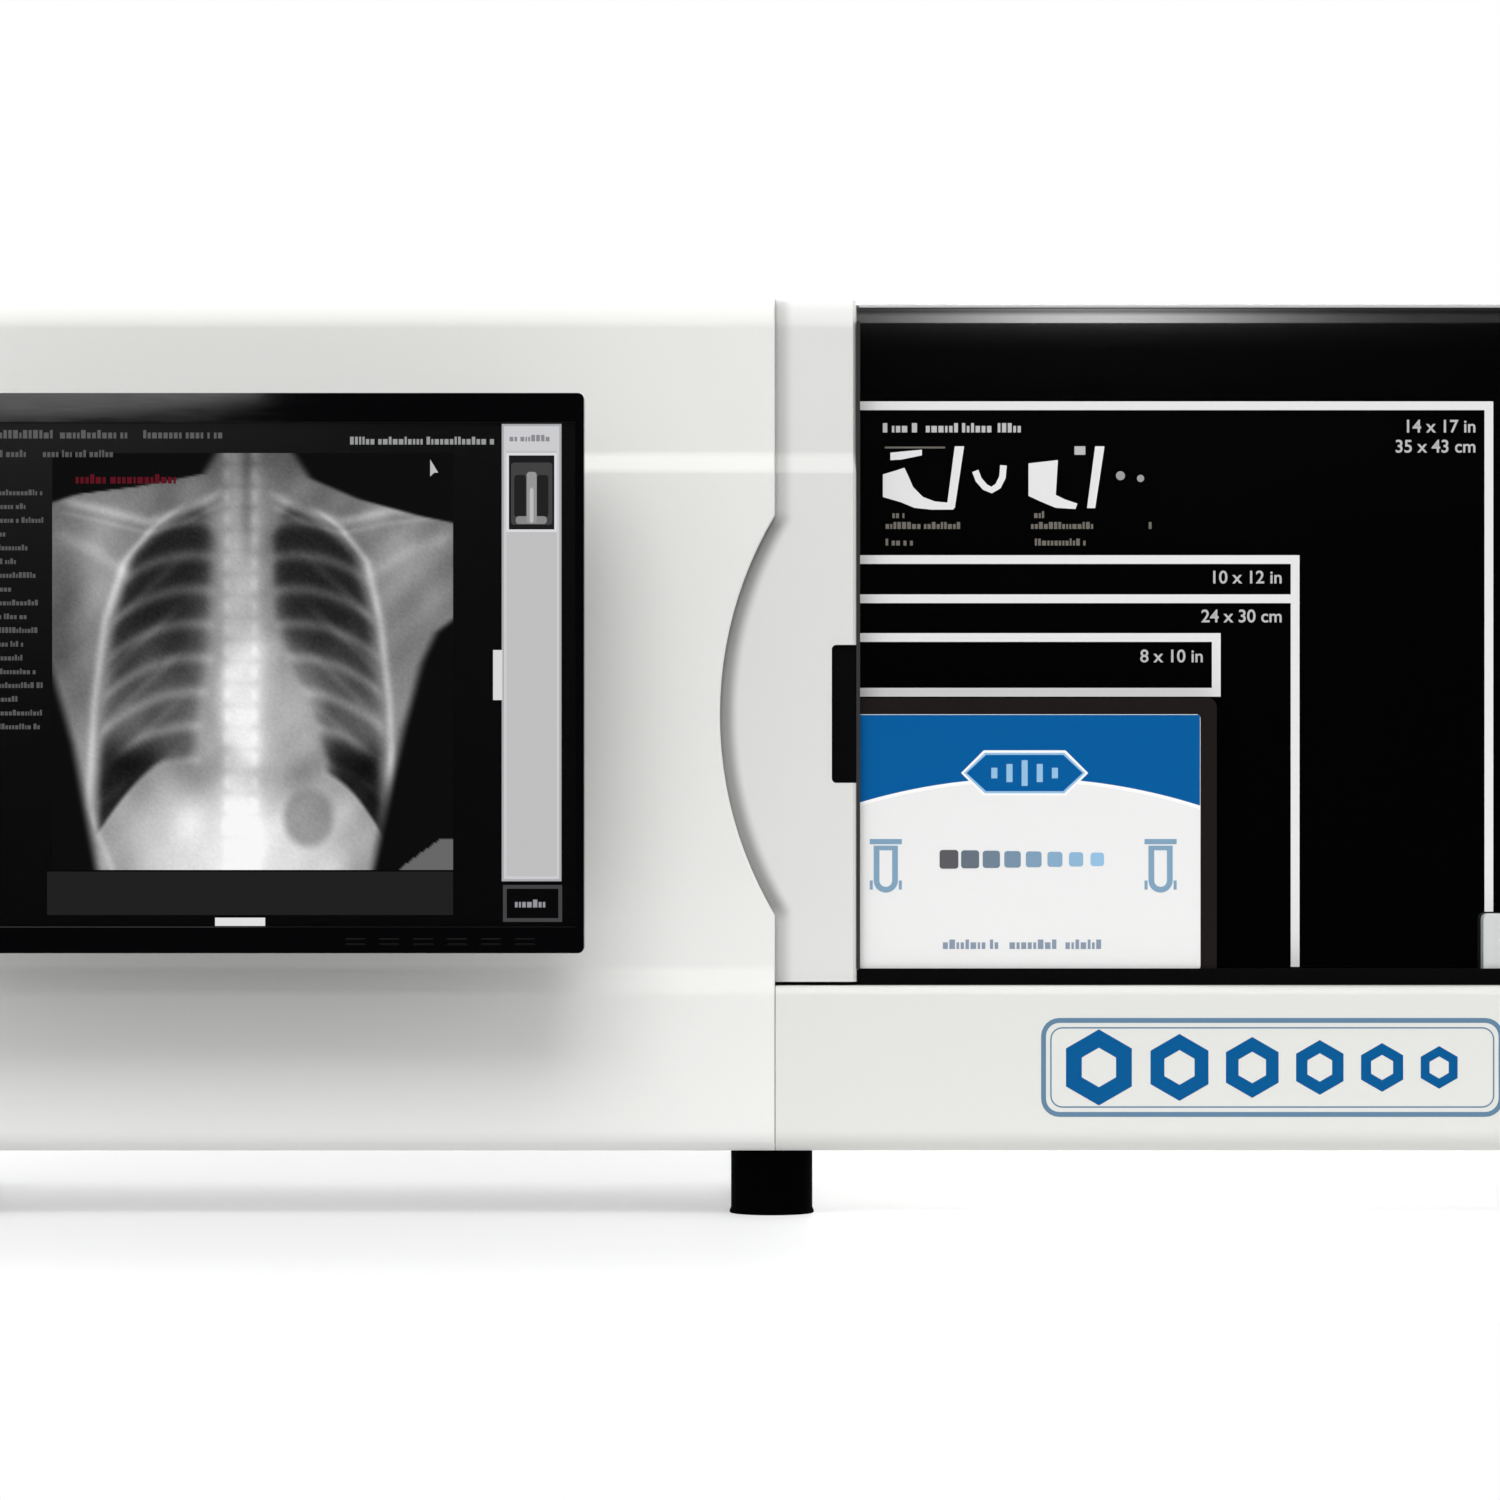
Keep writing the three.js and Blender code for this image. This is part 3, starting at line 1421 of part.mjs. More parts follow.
function controlBoard() {
  const front = opticsPlateDepth + opticsPlateWall + seatGap;
  const face = front + spacerHeight + boardThickness;
  const right = boardLeft + boardWidth;
  const top = boardFoot + boardHeight;
  const board = block([boardLeft, right], [front + spacerHeight, face], [boardFoot, top]);
  const spacers = [boardLeft + spacerInset, right - spacerInset].flatMap((place) =>
    [boardFoot + spacerInset, top - spacerInset].map((level) =>
      alongY(circle([place, level], spacerRadius, roundSides / 2), [front, face - boardThickness / 2]),
    ),
  );
  const sinkLeft = boardLeft + boardWidth / 2;
  const sinkFoot = boardFoot + boardHeight / 2;
  const sinkDepth = [face - boardThickness / 2, face + sinkBase];
  const sinkPlate = block([sinkLeft, sinkLeft + sinkSize], sinkDepth, span(sinkFoot, sinkSize));
  const finPitch = (sinkSize - finThickness) / (sinkFins - 1);
  const fins = Array.from({ length: sinkFins }, (_, fin) =>
    block(
      [sinkLeft + fin * finPitch, sinkLeft + fin * finPitch + finThickness],
      [face, face + sinkHeight],
      span(sinkFoot, sinkSize),
    ),
  );
  const connectors = Array.from({ length: connectorCount }, (_, row) =>
    block(
      [boardLeft + spacerInset, boardLeft + spacerInset + connectorDepth],
      [face - boardThickness / 2, face + connectorHeight],
      span(boardFoot + boardHeight / 2 + (row - (connectorCount - 1) / 2) * connectorPitch, connectorWidth),
    ),
  );
  return join(board, sinkPlate, ...spacers, ...fins, ...connectors);
}

const fanBack = cabinetDepth - coverWall - seatGap;
const fanFront = fanBack - fanDepth;
const impellerFront = fanFront + fanStrutThickness + seatGap;

function fanFrame() {
  const square = roundedRectangle(span(0, fanSize), span(0, fanSize), fanCorner);
  const duct = alongY(square, [fanFront, fanBack], [circle([0, 0], fanRadius, 2 * roundSides)]);
  const strutDepth = [fanFront, fanFront + fanStrutThickness];
  const hub = alongY(circle([0, 0], fanHubRadius), strutDepth);
  const strutSpan = span(0, 2 * fanRadius + fanCorner);
  const acrossStrut = block(strutSpan, strutDepth, span(0, fanStrutWidth));
  const upStrut = block(span(0, fanStrutWidth), strutDepth, strutSpan);
  return join(duct, hub, acrossStrut, upStrut);
}

// A blade's section at a share of its reach: a cambered plate, thin at both edges, set at its pitch.
function bladeSection(share) {
  const chord = THREE.MathUtils.lerp(fanRootChord, fanTipChord, share);
  const pitch = radians(THREE.MathUtils.lerp(fanRootPitch, fanTipPitch, share));
  const side = (face) =>
    Array.from({ length: fanBladeSteps + 1 }, (_, step) => {
      const along = (2 * step) / fanBladeSteps - 1;
      const crown = 1 - along ** 2;
      const rise = fanBladeCamber * crown + (face * fanBladeThickness * (1 + crown)) / 4;
      const reach = (along * chord) / 2;
      const across = reach * Math.cos(pitch) - rise * Math.sin(pitch);
      return [across, reach * Math.sin(pitch) + rise * Math.cos(pitch)];
    });
  return band(side(-1), side(1));
}

function fanImpeller() {
  const depth = [impellerFront, fanBack - fanTipGap];
  const hub = alongY(circle([0, 0], fanHubRadius - seatGap), depth);
  const bladeEnds = [fanHubRadius - cutOverrun, fanRadius - fanTipGap];
  const blades = Array.from({ length: fanBladeCount }, (_, blade) => {
    const sections = Array.from({ length: fanBladeSteps + 1 }, (_, step) => {
      const share = step / fanBladeSteps;
      return [THREE.MathUtils.lerp(...bladeEnds, share), bladeSection(share)];
    });
    const plate = loft(sections).translate(0, (depth[0] + depth[1]) / 2, 0);
    return plate.rotateY((2 * Math.PI * blade) / fanBladeCount);
  });
  return join(hub, ...blades);
}

const inletPanelBack = cabinetDepth - coverWall - seatGap;
const inletPanelDepth = [inletPanelBack - plateWall, inletPanelBack];
const rockerPivot = inletPanelBack - rockerPivotGap;

function inletPanel() {
  const sheetAcross = span(windowPlace, windowWidth + 2 * windowLap);
  const sheet = block(sheetAcross, inletPanelDepth, span(windowLevel, windowHeight + 2 * windowLap));
  const boxDepth = [rockerPivot - rockerRadius - rockerBoxWall, inletPanelDepth[1]];
  const rockerRoom = 2 * (rockerRadius + seatGap);
  const rockerWide = rockerWidth + 2 * seatGap;
  const rockerBox = block(
    span(rockerPlace, rockerWide + 2 * rockerBoxWall),
    boxDepth,
    span(windowLevel, rockerRoom + 2 * rockerBoxWall),
  );
  const rockerHole = block(
    span(rockerPlace, rockerWide),
    [boxDepth[0] + rockerBoxWall - seatGap, boxDepth[1] + cutOverrun],
    span(windowLevel, rockerRoom),
  );
  const nubHoles = alongX(
    circle([rockerPivot, windowLevel], rockerNubRadius + seatGap),
    span(rockerPlace, rockerWidth + 2 * rockerNubLength + 2 * seatGap),
  );
  const socketBox = block(
    span(socketPlace, socketWidth + 2 * socketWall),
    [inletPanelDepth[1] - socketDepth - socketWall, inletPanelDepth[1]],
    span(windowLevel, socketHeight + 2 * socketWall),
  );
  const socketHole = block(
    span(socketPlace, socketWidth),
    [inletPanelDepth[1] - socketDepth, inletPanelDepth[1] + cutOverrun],
    span(windowLevel, socketHeight),
  );
  const inletHole = block(
    span(inletPlace, inletWidth + 2 * seatGap),
    [inletPanelDepth[0] - cutOverrun, inletPanelDepth[1] + cutOverrun],
    span(windowLevel, inletHeight + 2 * seatGap),
  );
  return cut(join(sheet, rockerBox, socketBox), rockerHole, nubHoles, socketHole, inletHole);
}

function mainsInlet() {
  const flangeBack = inletPanelDepth[1] + seatGap;
  const face = flangeBack + inletFlangeThickness;
  const flange = block(
    span(0, inletWidth + 2 * inletFlange),
    [flangeBack, face],
    span(0, inletHeight + 2 * inletFlange),
  );
  const body = block(span(0, inletWidth), [face - inletDepth, face], span(0, inletHeight));
  const cavityFloor = face - inletCavity;
  const cavity = block(
    span(0, inletWidth - 2 * inletWall),
    [cavityFloor, face + cutOverrun],
    span(0, inletHeight - 2 * inletWall),
  );
  const pins = [-1, 0, 1].map((place) =>
    block(
      span(place * inletPinPitch, inletPinWidth),
      [cavityFloor - inletWall / 2, cavityFloor + inletPinLength],
      span((place ? -0.25 : 0.25) * inletPinHeight, inletPinHeight),
    ),
  );
  return join(cut(join(flange, body), cavity), ...pins);
}

function powerRocker() {
  const outline = [
    ...arcPoints([0, 0], rockerRadius, [rockerTipAngle, 360 - rockerTipAngle], 3 * cornerSteps),
    [rockerDip, 0],
  ];
  const nubSpan = span(0, rockerWidth + 2 * rockerNubLength);
  const nubs = alongX(circle([0, 0], rockerNubRadius, roundSides / 2), nubSpan);
  return join(alongX(outline, span(0, rockerWidth)), nubs);
}

function addElectronics(machine) {
  piece("power_supply", "zincSteel", powerSupply(), machine);
  piece("control_board", "boardGreen", controlBoard(), machine);
  piece("fan_frame", "blackPlastic", fanFrame(), machine, [fanPlace, 0, fanLevel]);
  piece("fan_impeller", "blackPlastic", fanImpeller(), machine, [fanPlace, 0, fanLevel]);
  piece("inlet_panel", "zincSteel", inletPanel(), machine);
  piece("mains_inlet", "blackPlastic", mainsInlet(), machine, [inletPlace, 0, windowLevel]);
  const seat = group(machine, [rockerPlace, rockerPivot, windowLevel]);
  seat.rotation.x = -radians(rockerRestTilt);
  piece("power_rocker", "blackPlastic", powerRocker(), seat);
}

// The whole machine, centred over the floor

const scanner = new THREE.Group();
scanner.name = "phosphor_plate_scanner";
const machine = group(scanner, [(cabinetWidth - wingWidth) / 2, (monitorProud - cabinetDepth) / 2, 0]);

piece("front_cover", "whitePaint", frontCover(), machine);
piece("slot_cover", "whitePaint", slotCover(), machine);
piece("rear_cover", "whitePaint", rearCover(), machine);
piece("base_tray", "zincSteel", baseTray(), machine);
piece("left_end_cap", "whitePaint", leftEndCap(), machine);
piece("right_side_panel", "whitePaint", rightSidePanel(), machine);

piece("lower_cover", "whitePaint", lowerCover(), machine);
piece("cassette_panel", "blackGloss", cassettePanel(), machine);
piece("wing_rear_cover", "whitePaint", wingRearCover(), machine);
piece("right_end_cap", "whitePaint", rightEndCap(), machine);
piece("wing_frame", "zincSteel", wingFrame(), machine);
piece("cassette_rail", "blackPlastic", cassetteRail(), machine);
piece("end_stop", "greyPlastic", endStop(), machine, [stopPlace, 0, 0]);

const footRearPlace = cabinetDepth - footRearSetback;
const footLeftPlace = footEndSetback - cabinetWidth;
piece("foot_front_left", "rubber", foot(footRadius), machine, [footLeftPlace, footFrontPlace, 0]);
piece("foot_rear_left", "rubber", foot(footRearRadius), machine, [footLeftPlace, footRearPlace, 0]);
piece("foot_front_middle", "rubber", foot(footRadius), machine, [footMiddlePlace, footFrontPlace, 0]);
piece("foot_rear_middle", "rubber", foot(footRearRadius), machine, [-footRearInset, footRearPlace, 0]);

piece("chassis_plate", "zincSteel", chassisPlate(), machine);
piece("platen", "aluminium", platen(), machine);

addMonitor(machine);
addCassette(machine);
addTransport(machine);
addOptics(machine);
addEraseLamps(machine);
addElectronics(machine);

export default scanner;
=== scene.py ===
"""Looks of a wide phosphor plate scanner: white covers, a monitor and a cassette on its rail."""
import json
import math

import bmesh
import bpy
import numpy as np
from mathutils import Matrix, Vector


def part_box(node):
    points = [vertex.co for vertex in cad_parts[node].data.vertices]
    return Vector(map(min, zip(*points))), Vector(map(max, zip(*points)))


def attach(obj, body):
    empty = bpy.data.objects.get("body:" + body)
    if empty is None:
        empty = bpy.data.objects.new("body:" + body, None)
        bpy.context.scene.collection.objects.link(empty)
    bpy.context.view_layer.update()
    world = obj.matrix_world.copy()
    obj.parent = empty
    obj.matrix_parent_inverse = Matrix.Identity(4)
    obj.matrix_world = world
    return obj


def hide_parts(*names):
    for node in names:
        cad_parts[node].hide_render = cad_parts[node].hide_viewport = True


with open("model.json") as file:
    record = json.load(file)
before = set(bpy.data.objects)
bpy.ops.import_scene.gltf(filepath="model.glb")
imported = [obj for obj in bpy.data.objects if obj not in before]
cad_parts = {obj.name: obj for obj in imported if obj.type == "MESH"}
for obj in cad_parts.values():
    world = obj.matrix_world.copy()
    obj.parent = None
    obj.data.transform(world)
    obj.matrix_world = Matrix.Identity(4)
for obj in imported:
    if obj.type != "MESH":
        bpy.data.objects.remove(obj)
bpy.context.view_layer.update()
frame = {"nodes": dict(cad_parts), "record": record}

MM = 0.001

# How far a printed layer stands proud of what it is printed on, how far it sinks into it, and
# how far each shape of a layer lies in front of the one before it
INK_PROUD = 0.12 * MM
INK_SUNK = 0.05 * MM
INK_STEP = 0.002 * MM

# Figures: the share of the font's size that their height takes, and how far they are fattened
CAPITAL_SHARE, FIGURE_FAT = 0.69, 0.16 * MM

# Levels of the creases that run along the covers, and how widely each is rounded, in millimetres
CREASES = (147, 164, 491, 502)
CREASE_ROUNDING = 2.2

# Angles in degrees: below the first two faces count as one flat, and above it as creased
FLAT_ANGLE, CREASE_ANGLE = 0.5, 8

# The arched part of the seam beside the slot cover: centre across and up, and radius; how widely
# the front cover's edge is rounded along it, and the width of the painted seam shade beside it
SEAM_ARC = (221.1, 330.0, 257.3)
SEAM_ROUNDING = 2.4
SEAM_SHADE_WIDTH = 13.0

# The slot cover's rounded top as (depth, level) points: its start, its bend and its next corner;
# the front corner of the inner rib's end, and where the rib lies across
TOP_START, TOP_BEND, TOP_END = (-101.7, 585), (-100.64, 591.71), (-99.77, 593.4)
RIB_CORNER = (TOP_START[0], TOP_END[1])
RIB_SPAN = (43, 48)

# The black panel's bow: from which level to which, how far it falls back, and how deep it goes
BOW_FOOT, BOW_HEAD, BOW_FALL, BOW_DEPTH = 573, 593.4, 0.2, 11

# Screw heads and the round wells that they sit in, and the way that a rear cover looks
HEAD_RADIUS, HEAD_HEIGHT = 3.6, 1.6
WELL_RADIUS, WELL_DEPTH = 5.2, 2.0
BACK = (0, 1, 0)


# Materials


def joining(operation, turned=False):
    """A method that joins a wire and a value by a Math node, turned if the value comes first."""

    def join(wire, other):
        first, second = (other, wire) if turned else (wire, other)
        return wire.tree.node("Math", {"operation": operation}, {0: first, 1: second})

    return join


class Wire:
    """A socket of a node tree; sums on it add Math nodes."""

    def __init__(self, tree, socket):
        self.tree, self.socket = tree, socket

    __add__, __radd__ = joining("ADD"), joining("ADD", True)
    __sub__, __rsub__ = joining("SUBTRACT"), joining("SUBTRACT", True)
    __mul__, __rmul__ = joining("MULTIPLY"), joining("MULTIPLY", True)
    __pow__, __rpow__ = joining("POWER"), joining("POWER", True)
    __truediv__ = joining("DIVIDE")
    above, larger = joining("GREATER_THAN"), joining("MAXIMUM")

    def clamped(self):
        return self.tree.node("Clamp", {}, {0: self})


class Tree:
    """The node tree of a material or of the world."""

    def __init__(self, owner):
        owner.use_nodes = True
        self.nodes, self.links = owner.node_tree.nodes, owner.node_tree.links

    def node(self, kind, settings, values, output=0):
        made = self.nodes.new("ShaderNode" + kind)
        for name, setting in settings.items():
            setattr(made, name, setting)
        for name, value in values.items():
            self.feed(made.inputs[name], value)
        return Wire(self, made.outputs[output])

    def feed(self, socket, value):
        if isinstance(value, Wire):
            self.links.new(value.socket, socket)
        elif value is not None:
            socket.default_value = value

    def split(self, vector):
        """The three parts of a vector: across, deep and up."""
        parts = self.node("SeparateXYZ", {}, {0: vector})
        return [Wire(self, end) for end in parts.socket.node.outputs]

    def ramp(self, value, low, high, start, end, course="LINEAR"):
        """Goes from start to end while the value goes from low to high."""
        ends = {0: value, 1: low, 2: high, 3: start, 4: end}
        return self.node("MapRange", {"interpolation_type": course}, ends)

    def place(self, stretch=(1, 1, 1)):
        """The point on the piece in metres, stretched along the machine's axes."""
        point = self.node("TexCoord", {}, {}, "Object")
        return self.node("Mapping", {}, {"Vector": point, "Scale": stretch})

    def noise(self, per_metre, detail, stretch=(1, 1, 1)):
        return self.node(
            "TexNoise", {}, {"Vector": self.place(stretch), "Scale": per_metre, "Detail": detail}
        )

    def between(self, factor, first, second):
        """A colour part of the way from one colour to another."""
        return self.node("Mix", {"data_type": "RGBA"}, {0: factor, 6: first, 7: second}, 2)

    def bump(self, height, distance, strength):
        return self.node("Bump", {}, {"Height": height, "Distance": distance, "Strength": strength})


class Finish(Tree):
    """A material with its Principled shader."""

    def __init__(self, name):
        self.material = bpy.data.materials.new(name)
        super().__init__(self.material)
        self.shader = self.nodes["Principled BSDF"]

    def set(self, **values):
        for name, value in values.items():
            self.feed(self.shader.inputs[name.replace("_", " ")], value)
        return self


def rgba(colour):
    return (*colour, 1)


def grey(level):
    return rgba([level] * 3)


def tinted(colour, share):
    return rgba([channel * share for channel in colour])


def moulded(
    name, colour, roughness, grain=0.45, depth=0.00002, uneven=0.03, shine=0.5, shade=None
):
    """Moulded plastic or rubber: a fine spark-eroded grain, tone that drifts over the piece, and
    painted shade if a shade is given.
    """
    finish = Finish(name)
    drift = finish.noise(3, 3)
    fine = finish.noise(1 / (grain * MM), 1)
    tone = finish.between(drift, tinted(colour, 1 - uneven), tinted(colour, 1 + uneven))
    tone = finish.between(fine * 0.12, tone, tinted(colour, 0.94))
    finish.set(
        Base_Color=shade(finish, tone) if shade else tone,
        Roughness=roughness + (drift - 0.5) * 0.12 + (fine - 0.5) * 0.08,
        Normal=finish.bump(fine, depth, 0.6),
        Specular_IOR_Level=shine,
    )
    return finish


def painted_seam_shade(finish, colour):
    """Painted shade: darkens a cover's colour along its seam, straight and then arched, where shadow
    falls.
    """
    across, _, level = finish.split(finish.place())
    aside, along = across - SEAM_ARC[0] * MM, level - SEAM_ARC[1] * MM
    inside_arc = SEAM_ARC[2] * MM - (aside * aside + along * along) ** 0.5
    depth = across.larger(inside_arc) / (SEAM_SHADE_WIDTH * MM)
    arched = ((inside_arc - across) / (6 * MM) + 0.5).clamped()
    # The painted shade is darkest at the seam and fades over its width; it is darker along the arc than
    # along the straight part
    fade = finish.ramp(depth, 0.3, 1.0, 1.0, 0.0, "SMOOTHSTEP")
    return finish.between(fade * (0.3 + arched * 0.3), colour, grey(0))


def metal(name, colour, roughness, lay=(1, 1, 1), depth=0.00001):
    """Bare or plated metal whose rolling or milling marks run along one axis."""
    finish = Finish(name)
    marks = finish.noise(900, 3, lay)
    cloud = finish.noise(9, 4)
    finish.set(
        Base_Color=finish.between(cloud, tinted(colour, 0.88), tinted(colour, 1.08)),
        Roughness=roughness + (marks - 0.5) * 0.25 + (cloud - 0.5) * 0.1,
        Metallic=1.0,
        Normal=finish.bump(marks, depth, 0.5),
    )
    return finish


def clear(name, colour, roughness):
    finish = Finish(name)
    cloud = finish.noise(14, 3)
    finish.set(
        Base_Color=finish.between(cloud, tinted(colour, 0.94), tinted(colour, 1.0)),
        Roughness=roughness + cloud * 0.04,
        Transmission_Weight=1.0,
        IOR=1.49,
    )
    return finish


def printed(name, roughness, glow=0.0):
    """Ink whose colour is written on each printed shape; a lit screen glows with it."""
    finish = Finish(name)
    tone = finish.node("Attribute", {"attribute_name": "tone"}, {}, "Color")
    speck = finish.noise(1800, 1)
    if glow:
        finish.set(
            Base_Color=finish.between(speck * 0.3, grey(0.002), grey(0.006)),
            Emission_Color=tone,
            Emission_Strength=glow,
        )
    else:
        finish.set(Base_Color=finish.between(speck * 0.07, tone, grey(0)))
    return finish.set(
        Roughness=roughness + (speck - 0.5) * 0.08, Specular_IOR_Level=0.02 if glow else 0.1
    )


def gloss_black(name, colour, roughness, level, peel_depth=0.000004):
    """Polished black with a faint orange peel and a few fine wiping marks."""
    finish = Finish(name)
    peel = finish.noise(160, 2)
    wipes = finish.noise(60, 3, (1, 1, 9))
    finish.set(
        Base_Color=finish.between(wipes, tinted(colour, 0.7), tinted(colour, 1.3)),
        Roughness=roughness + wipes * 0.04,
        Specular_IOR_Level=level,
        Normal=finish.bump(peel, peel_depth, 0.4),
    )
    return finish


def board_finish():
    """Solder mask over copper tracks, drawn as a fine square maze."""
    finish = Finish("board_mask")
    cells = finish.node(
        "TexVoronoi",
        {"distance": "CHEBYCHEV", "feature": "F1"},
        {"Vector": finish.place(), "Scale": 260.0, "Randomness": 0.6},
    )
    tracks = cells.above(0.42)
    return finish.set(
        Base_Color=finish.between(tracks, rgba([0.008, 0.085, 0.035]), rgba([0.02, 0.16, 0.07])),
        Roughness=0.42 - tracks * 0.08,
        Normal=finish.bump(tracks, 0.00004, 0.5),
    )


white_cover = moulded("white_cover", (0.79, 0.79, 0.77), 0.42, uneven=0.012)
# The slot cover's white, with painted shade darkening it along its seam
slot_white = moulded("slot_white", (0.7, 0.7, 0.685), 0.42, uneven=0.012, shade=painted_seam_shade)
wing_white = moulded("wing_white", (0.7, 0.705, 0.675), 0.42, uneven=0.012)
panel_black = gloss_black("panel_black", (0.0003, 0.0003, 0.0003), 0.05, 0.35)
bezel_black = gloss_black("bezel_black", (0.001, 0.001, 0.0014), 0.01, 0.5, 0.0000004)
satin_black = moulded("satin_black", (0.004, 0.004, 0.004), 0.5, uneven=0.2, shine=0.1)
rail_black = moulded("rail_black", (0.001, 0.001, 0.001), 0.5, uneven=0.2, shine=0.03)
case_black = moulded("case_black", (0.008, 0.0055, 0.0055), 0.5, uneven=0.2, shine=0.08)
pale_grey = moulded("pale_grey", (0.58, 0.6, 0.59), 0.48)
foot_black = moulded("foot_black", (0.0003, 0.0003, 0.0003), 0.75, 0.7, 0.00005, 0.3, shine=0.012)
belt_black = moulded("belt_black", (0.02, 0.02, 0.02), 0.7, 0.5, 0.00004, 0.25)
screen_dark = gloss_black("screen_dark", (0.0015, 0.0015, 0.0017), 0.12, 0.15)
trim_grey = moulded("trim_grey", (0.34, 0.34, 0.34), 0.45, shine=0.3)
# A dark strip beside the slot cover, standing in for the shadow in the gap there
shade_strip_black = moulded("shade_strip_black", (0.035, 0.035, 0.035), 0.7, 0.5, 0.00003, 0.2, shine=0.1)
zinc = metal("zinc", (0.6, 0.61, 0.6), 0.36)
ground_steel = metal("ground_steel", (0.32, 0.33, 0.34), 0.34, (1, 1, 12))
milled = metal("milled", (0.66, 0.67, 0.68), 0.32, (1, 8, 12))
mirror = metal("mirror", (0.86, 0.88, 0.89), 0.04, depth=0.000001)
label_film = moulded("label_film", (0.81, 0.81, 0.805), 0.38, 0.3, 0.000006, 0.01)
phosphor = moulded("phosphor", (0.85, 0.87, 0.86), 0.7, 0.2, 0.000008, 0.015)
acrylic = clear("acrylic", (0.9, 0.95, 0.98), 0.03)
lamp_white = moulded("lamp_white", (0.9, 0.9, 0.88), 0.15, 0.3, 0.000003, 0.01)
board_green = board_finish()
ink = printed("ink", 0.42)
lit = printed("lit", 0.3, 1.0)


# Making pieces


def linked(name, data):
    made = bpy.data.objects.new(name, data)
    bpy.context.scene.collection.objects.link(made)
    return made


def seated(made, body, finish, replaced=()):
    """Gives a finished piece its material and the body that it moves with, and hides the solids that it
    stands for.
    """
    made.data.materials.clear()
    made.data.materials.append(finish.material)
    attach(made, body)
    if replaced:
        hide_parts(*replaced)


def mesh_of(shape, name):
    """The edited shape as a mesh of its own."""
    mesh = bpy.data.meshes.new(name)
    shape.to_mesh(mesh)
    shape.free()
    return mesh


def evaluated_mesh(made, name):
    """The object's mesh with its modifiers and curves worked out."""
    graph = bpy.context.evaluated_depsgraph_get()
    mesh = bpy.data.meshes.new_from_object(made.evaluated_get(graph))
    mesh.name = name
    return mesh


def body_of(node):
    bodies = frame["record"]["behaviour"]["bodies"]
    return next(body for body, members in bodies.items() if node in members)


def round_edges(shape, edges, width, segments, **limits):
    bmesh.ops.bevel(
        shape, geom=edges, offset=width * MM, segments=segments, profile=0.5, affect="EDGES", **limits
    )


def seam_depth(point):
    """How far a point lies inside the seam beside the slot cover, in millimetres."""
    across, level = point.x / MM, point.z / MM
    return max(across, SEAM_ARC[2] - math.hypot(across - SEAM_ARC[0], level - SEAM_ARC[1]))


def ease_seam(shape):
    """Rounds the front cover's edge along the seam more than its other edges."""
    edges = [
        edge
        for edge in shape.edges
        if all(abs(seam_depth(vert.co)) < 0.2 for vert in edge.verts)
        and edge.calc_face_angle(0) > math.radians(60)
        and min(face.normal.y for face in edge.link_faces) < -0.8
    ]
    round_edges(shape, edges, SEAM_ROUNDING, 4, clamp_overlap=True)


def trim_rib(shape):
    """Takes off the end of the slot cover's inner rib, which shows through its rounded top."""
    rib = [vert for vert in shape.verts if RIB_SPAN[0] < vert.co.x / MM < RIB_SPAN[1]]
    foot, crest, bend, end = [
        sorted(
            (vert for vert in rib if (vert.co.yz / MM - Vector(place)).length < 0.05),
            key=lambda vert: vert.co.x,
        )
        for place in (TOP_START, RIB_CORNER, TOP_BEND, TOP_END)
    ]
    bmesh.ops.connect_verts(shape, verts=foot)
    bmesh.ops.delete(shape, geom=crest, context="VERTS")
    for low, high in ((foot, bend), (bend, end)):
        shape.faces.new([*low, *reversed(high)])


def bow_panel(shape):
    """Lets the black panel's face fall back a little below its rounded top."""
    cuts = 6
    for step in range(cuts):
        level = BOW_FOOT + (BOW_HEAD - BOW_FOOT) * step / cuts
        bmesh.ops.bisect_plane(
            shape,
            geom=[*shape.verts, *shape.edges, *shape.faces],
            plane_co=(0, 0, level * MM),
            plane_no=(0, 0, 1),
        )
    face = min(vert.co.y for vert in shape.verts)
    for vert in shape.verts:
        rise = (vert.co.z / MM - BOW_FOOT) / (BOW_HEAD - BOW_FOOT)
        if vert.co.y < face + BOW_DEPTH * MM and rise > 0:
            vert.co.y += min(rise, 1.0) ** 2 * BOW_FALL * MM


def cover_fixings(node):
    """Where a cover's screws sit, each with the direction that it looks in."""
    low, high = (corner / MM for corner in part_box(node))
    middle, inset, drop = (low + high) / 2, 14, 22
    if node in ("left_end_cap", "right_end_cap"):
        side, face = (-1, low.x) if node == "left_end_cap" else (1, high.x)
        spots = [(y, z) for y in (low.y + 40, high.y - drop) for z in (90, 560)]
        return [((face, y, z), (side, 0, 0)) for y, z in spots]
    top = high.z - drop
    if node == "rear_cover":
        spots = [(x, z) for x in (low.x + inset, high.x - inset) for z in (70, 230, 400, top)]
        spots += [(x, z) for x in (-400, -200) for z in (64, top)]
    else:
        columns = (low.x + inset + 2, middle.x, high.x - inset)
        spots = [(x, z) for x in columns for z in (70, top)]
    return [((x, high.y, z), BACK) for x, z in spots]


def cut_wells(made, places):
    """Sinks a round well into the piece at each screw, for its head to sit in."""
    shape = bmesh.new()
    for place, towards in places:
        turn = Vector(towards).to_track_quat("Z", "Y").to_matrix().to_4x4()
        bmesh.ops.create_cone(
            shape,
            cap_ends=True,
            segments=40,
            radius1=WELL_RADIUS * MM,
            radius2=WELL_RADIUS * MM,
            depth=2 * WELL_DEPTH * MM,
            matrix=Matrix.Translation(Vector(place) * MM) @ turn,
        )
    wells = linked("wells", mesh_of(shape, "wells"))
    cut = made.modifiers.new("wells", "BOOLEAN")
    cut.operation, cut.solver, cut.object = "DIFFERENCE", "EXACT", wells
    made.data = evaluated_mesh(made, made.name)
    made.modifiers.clear()
    bpy.data.objects.remove(wells)


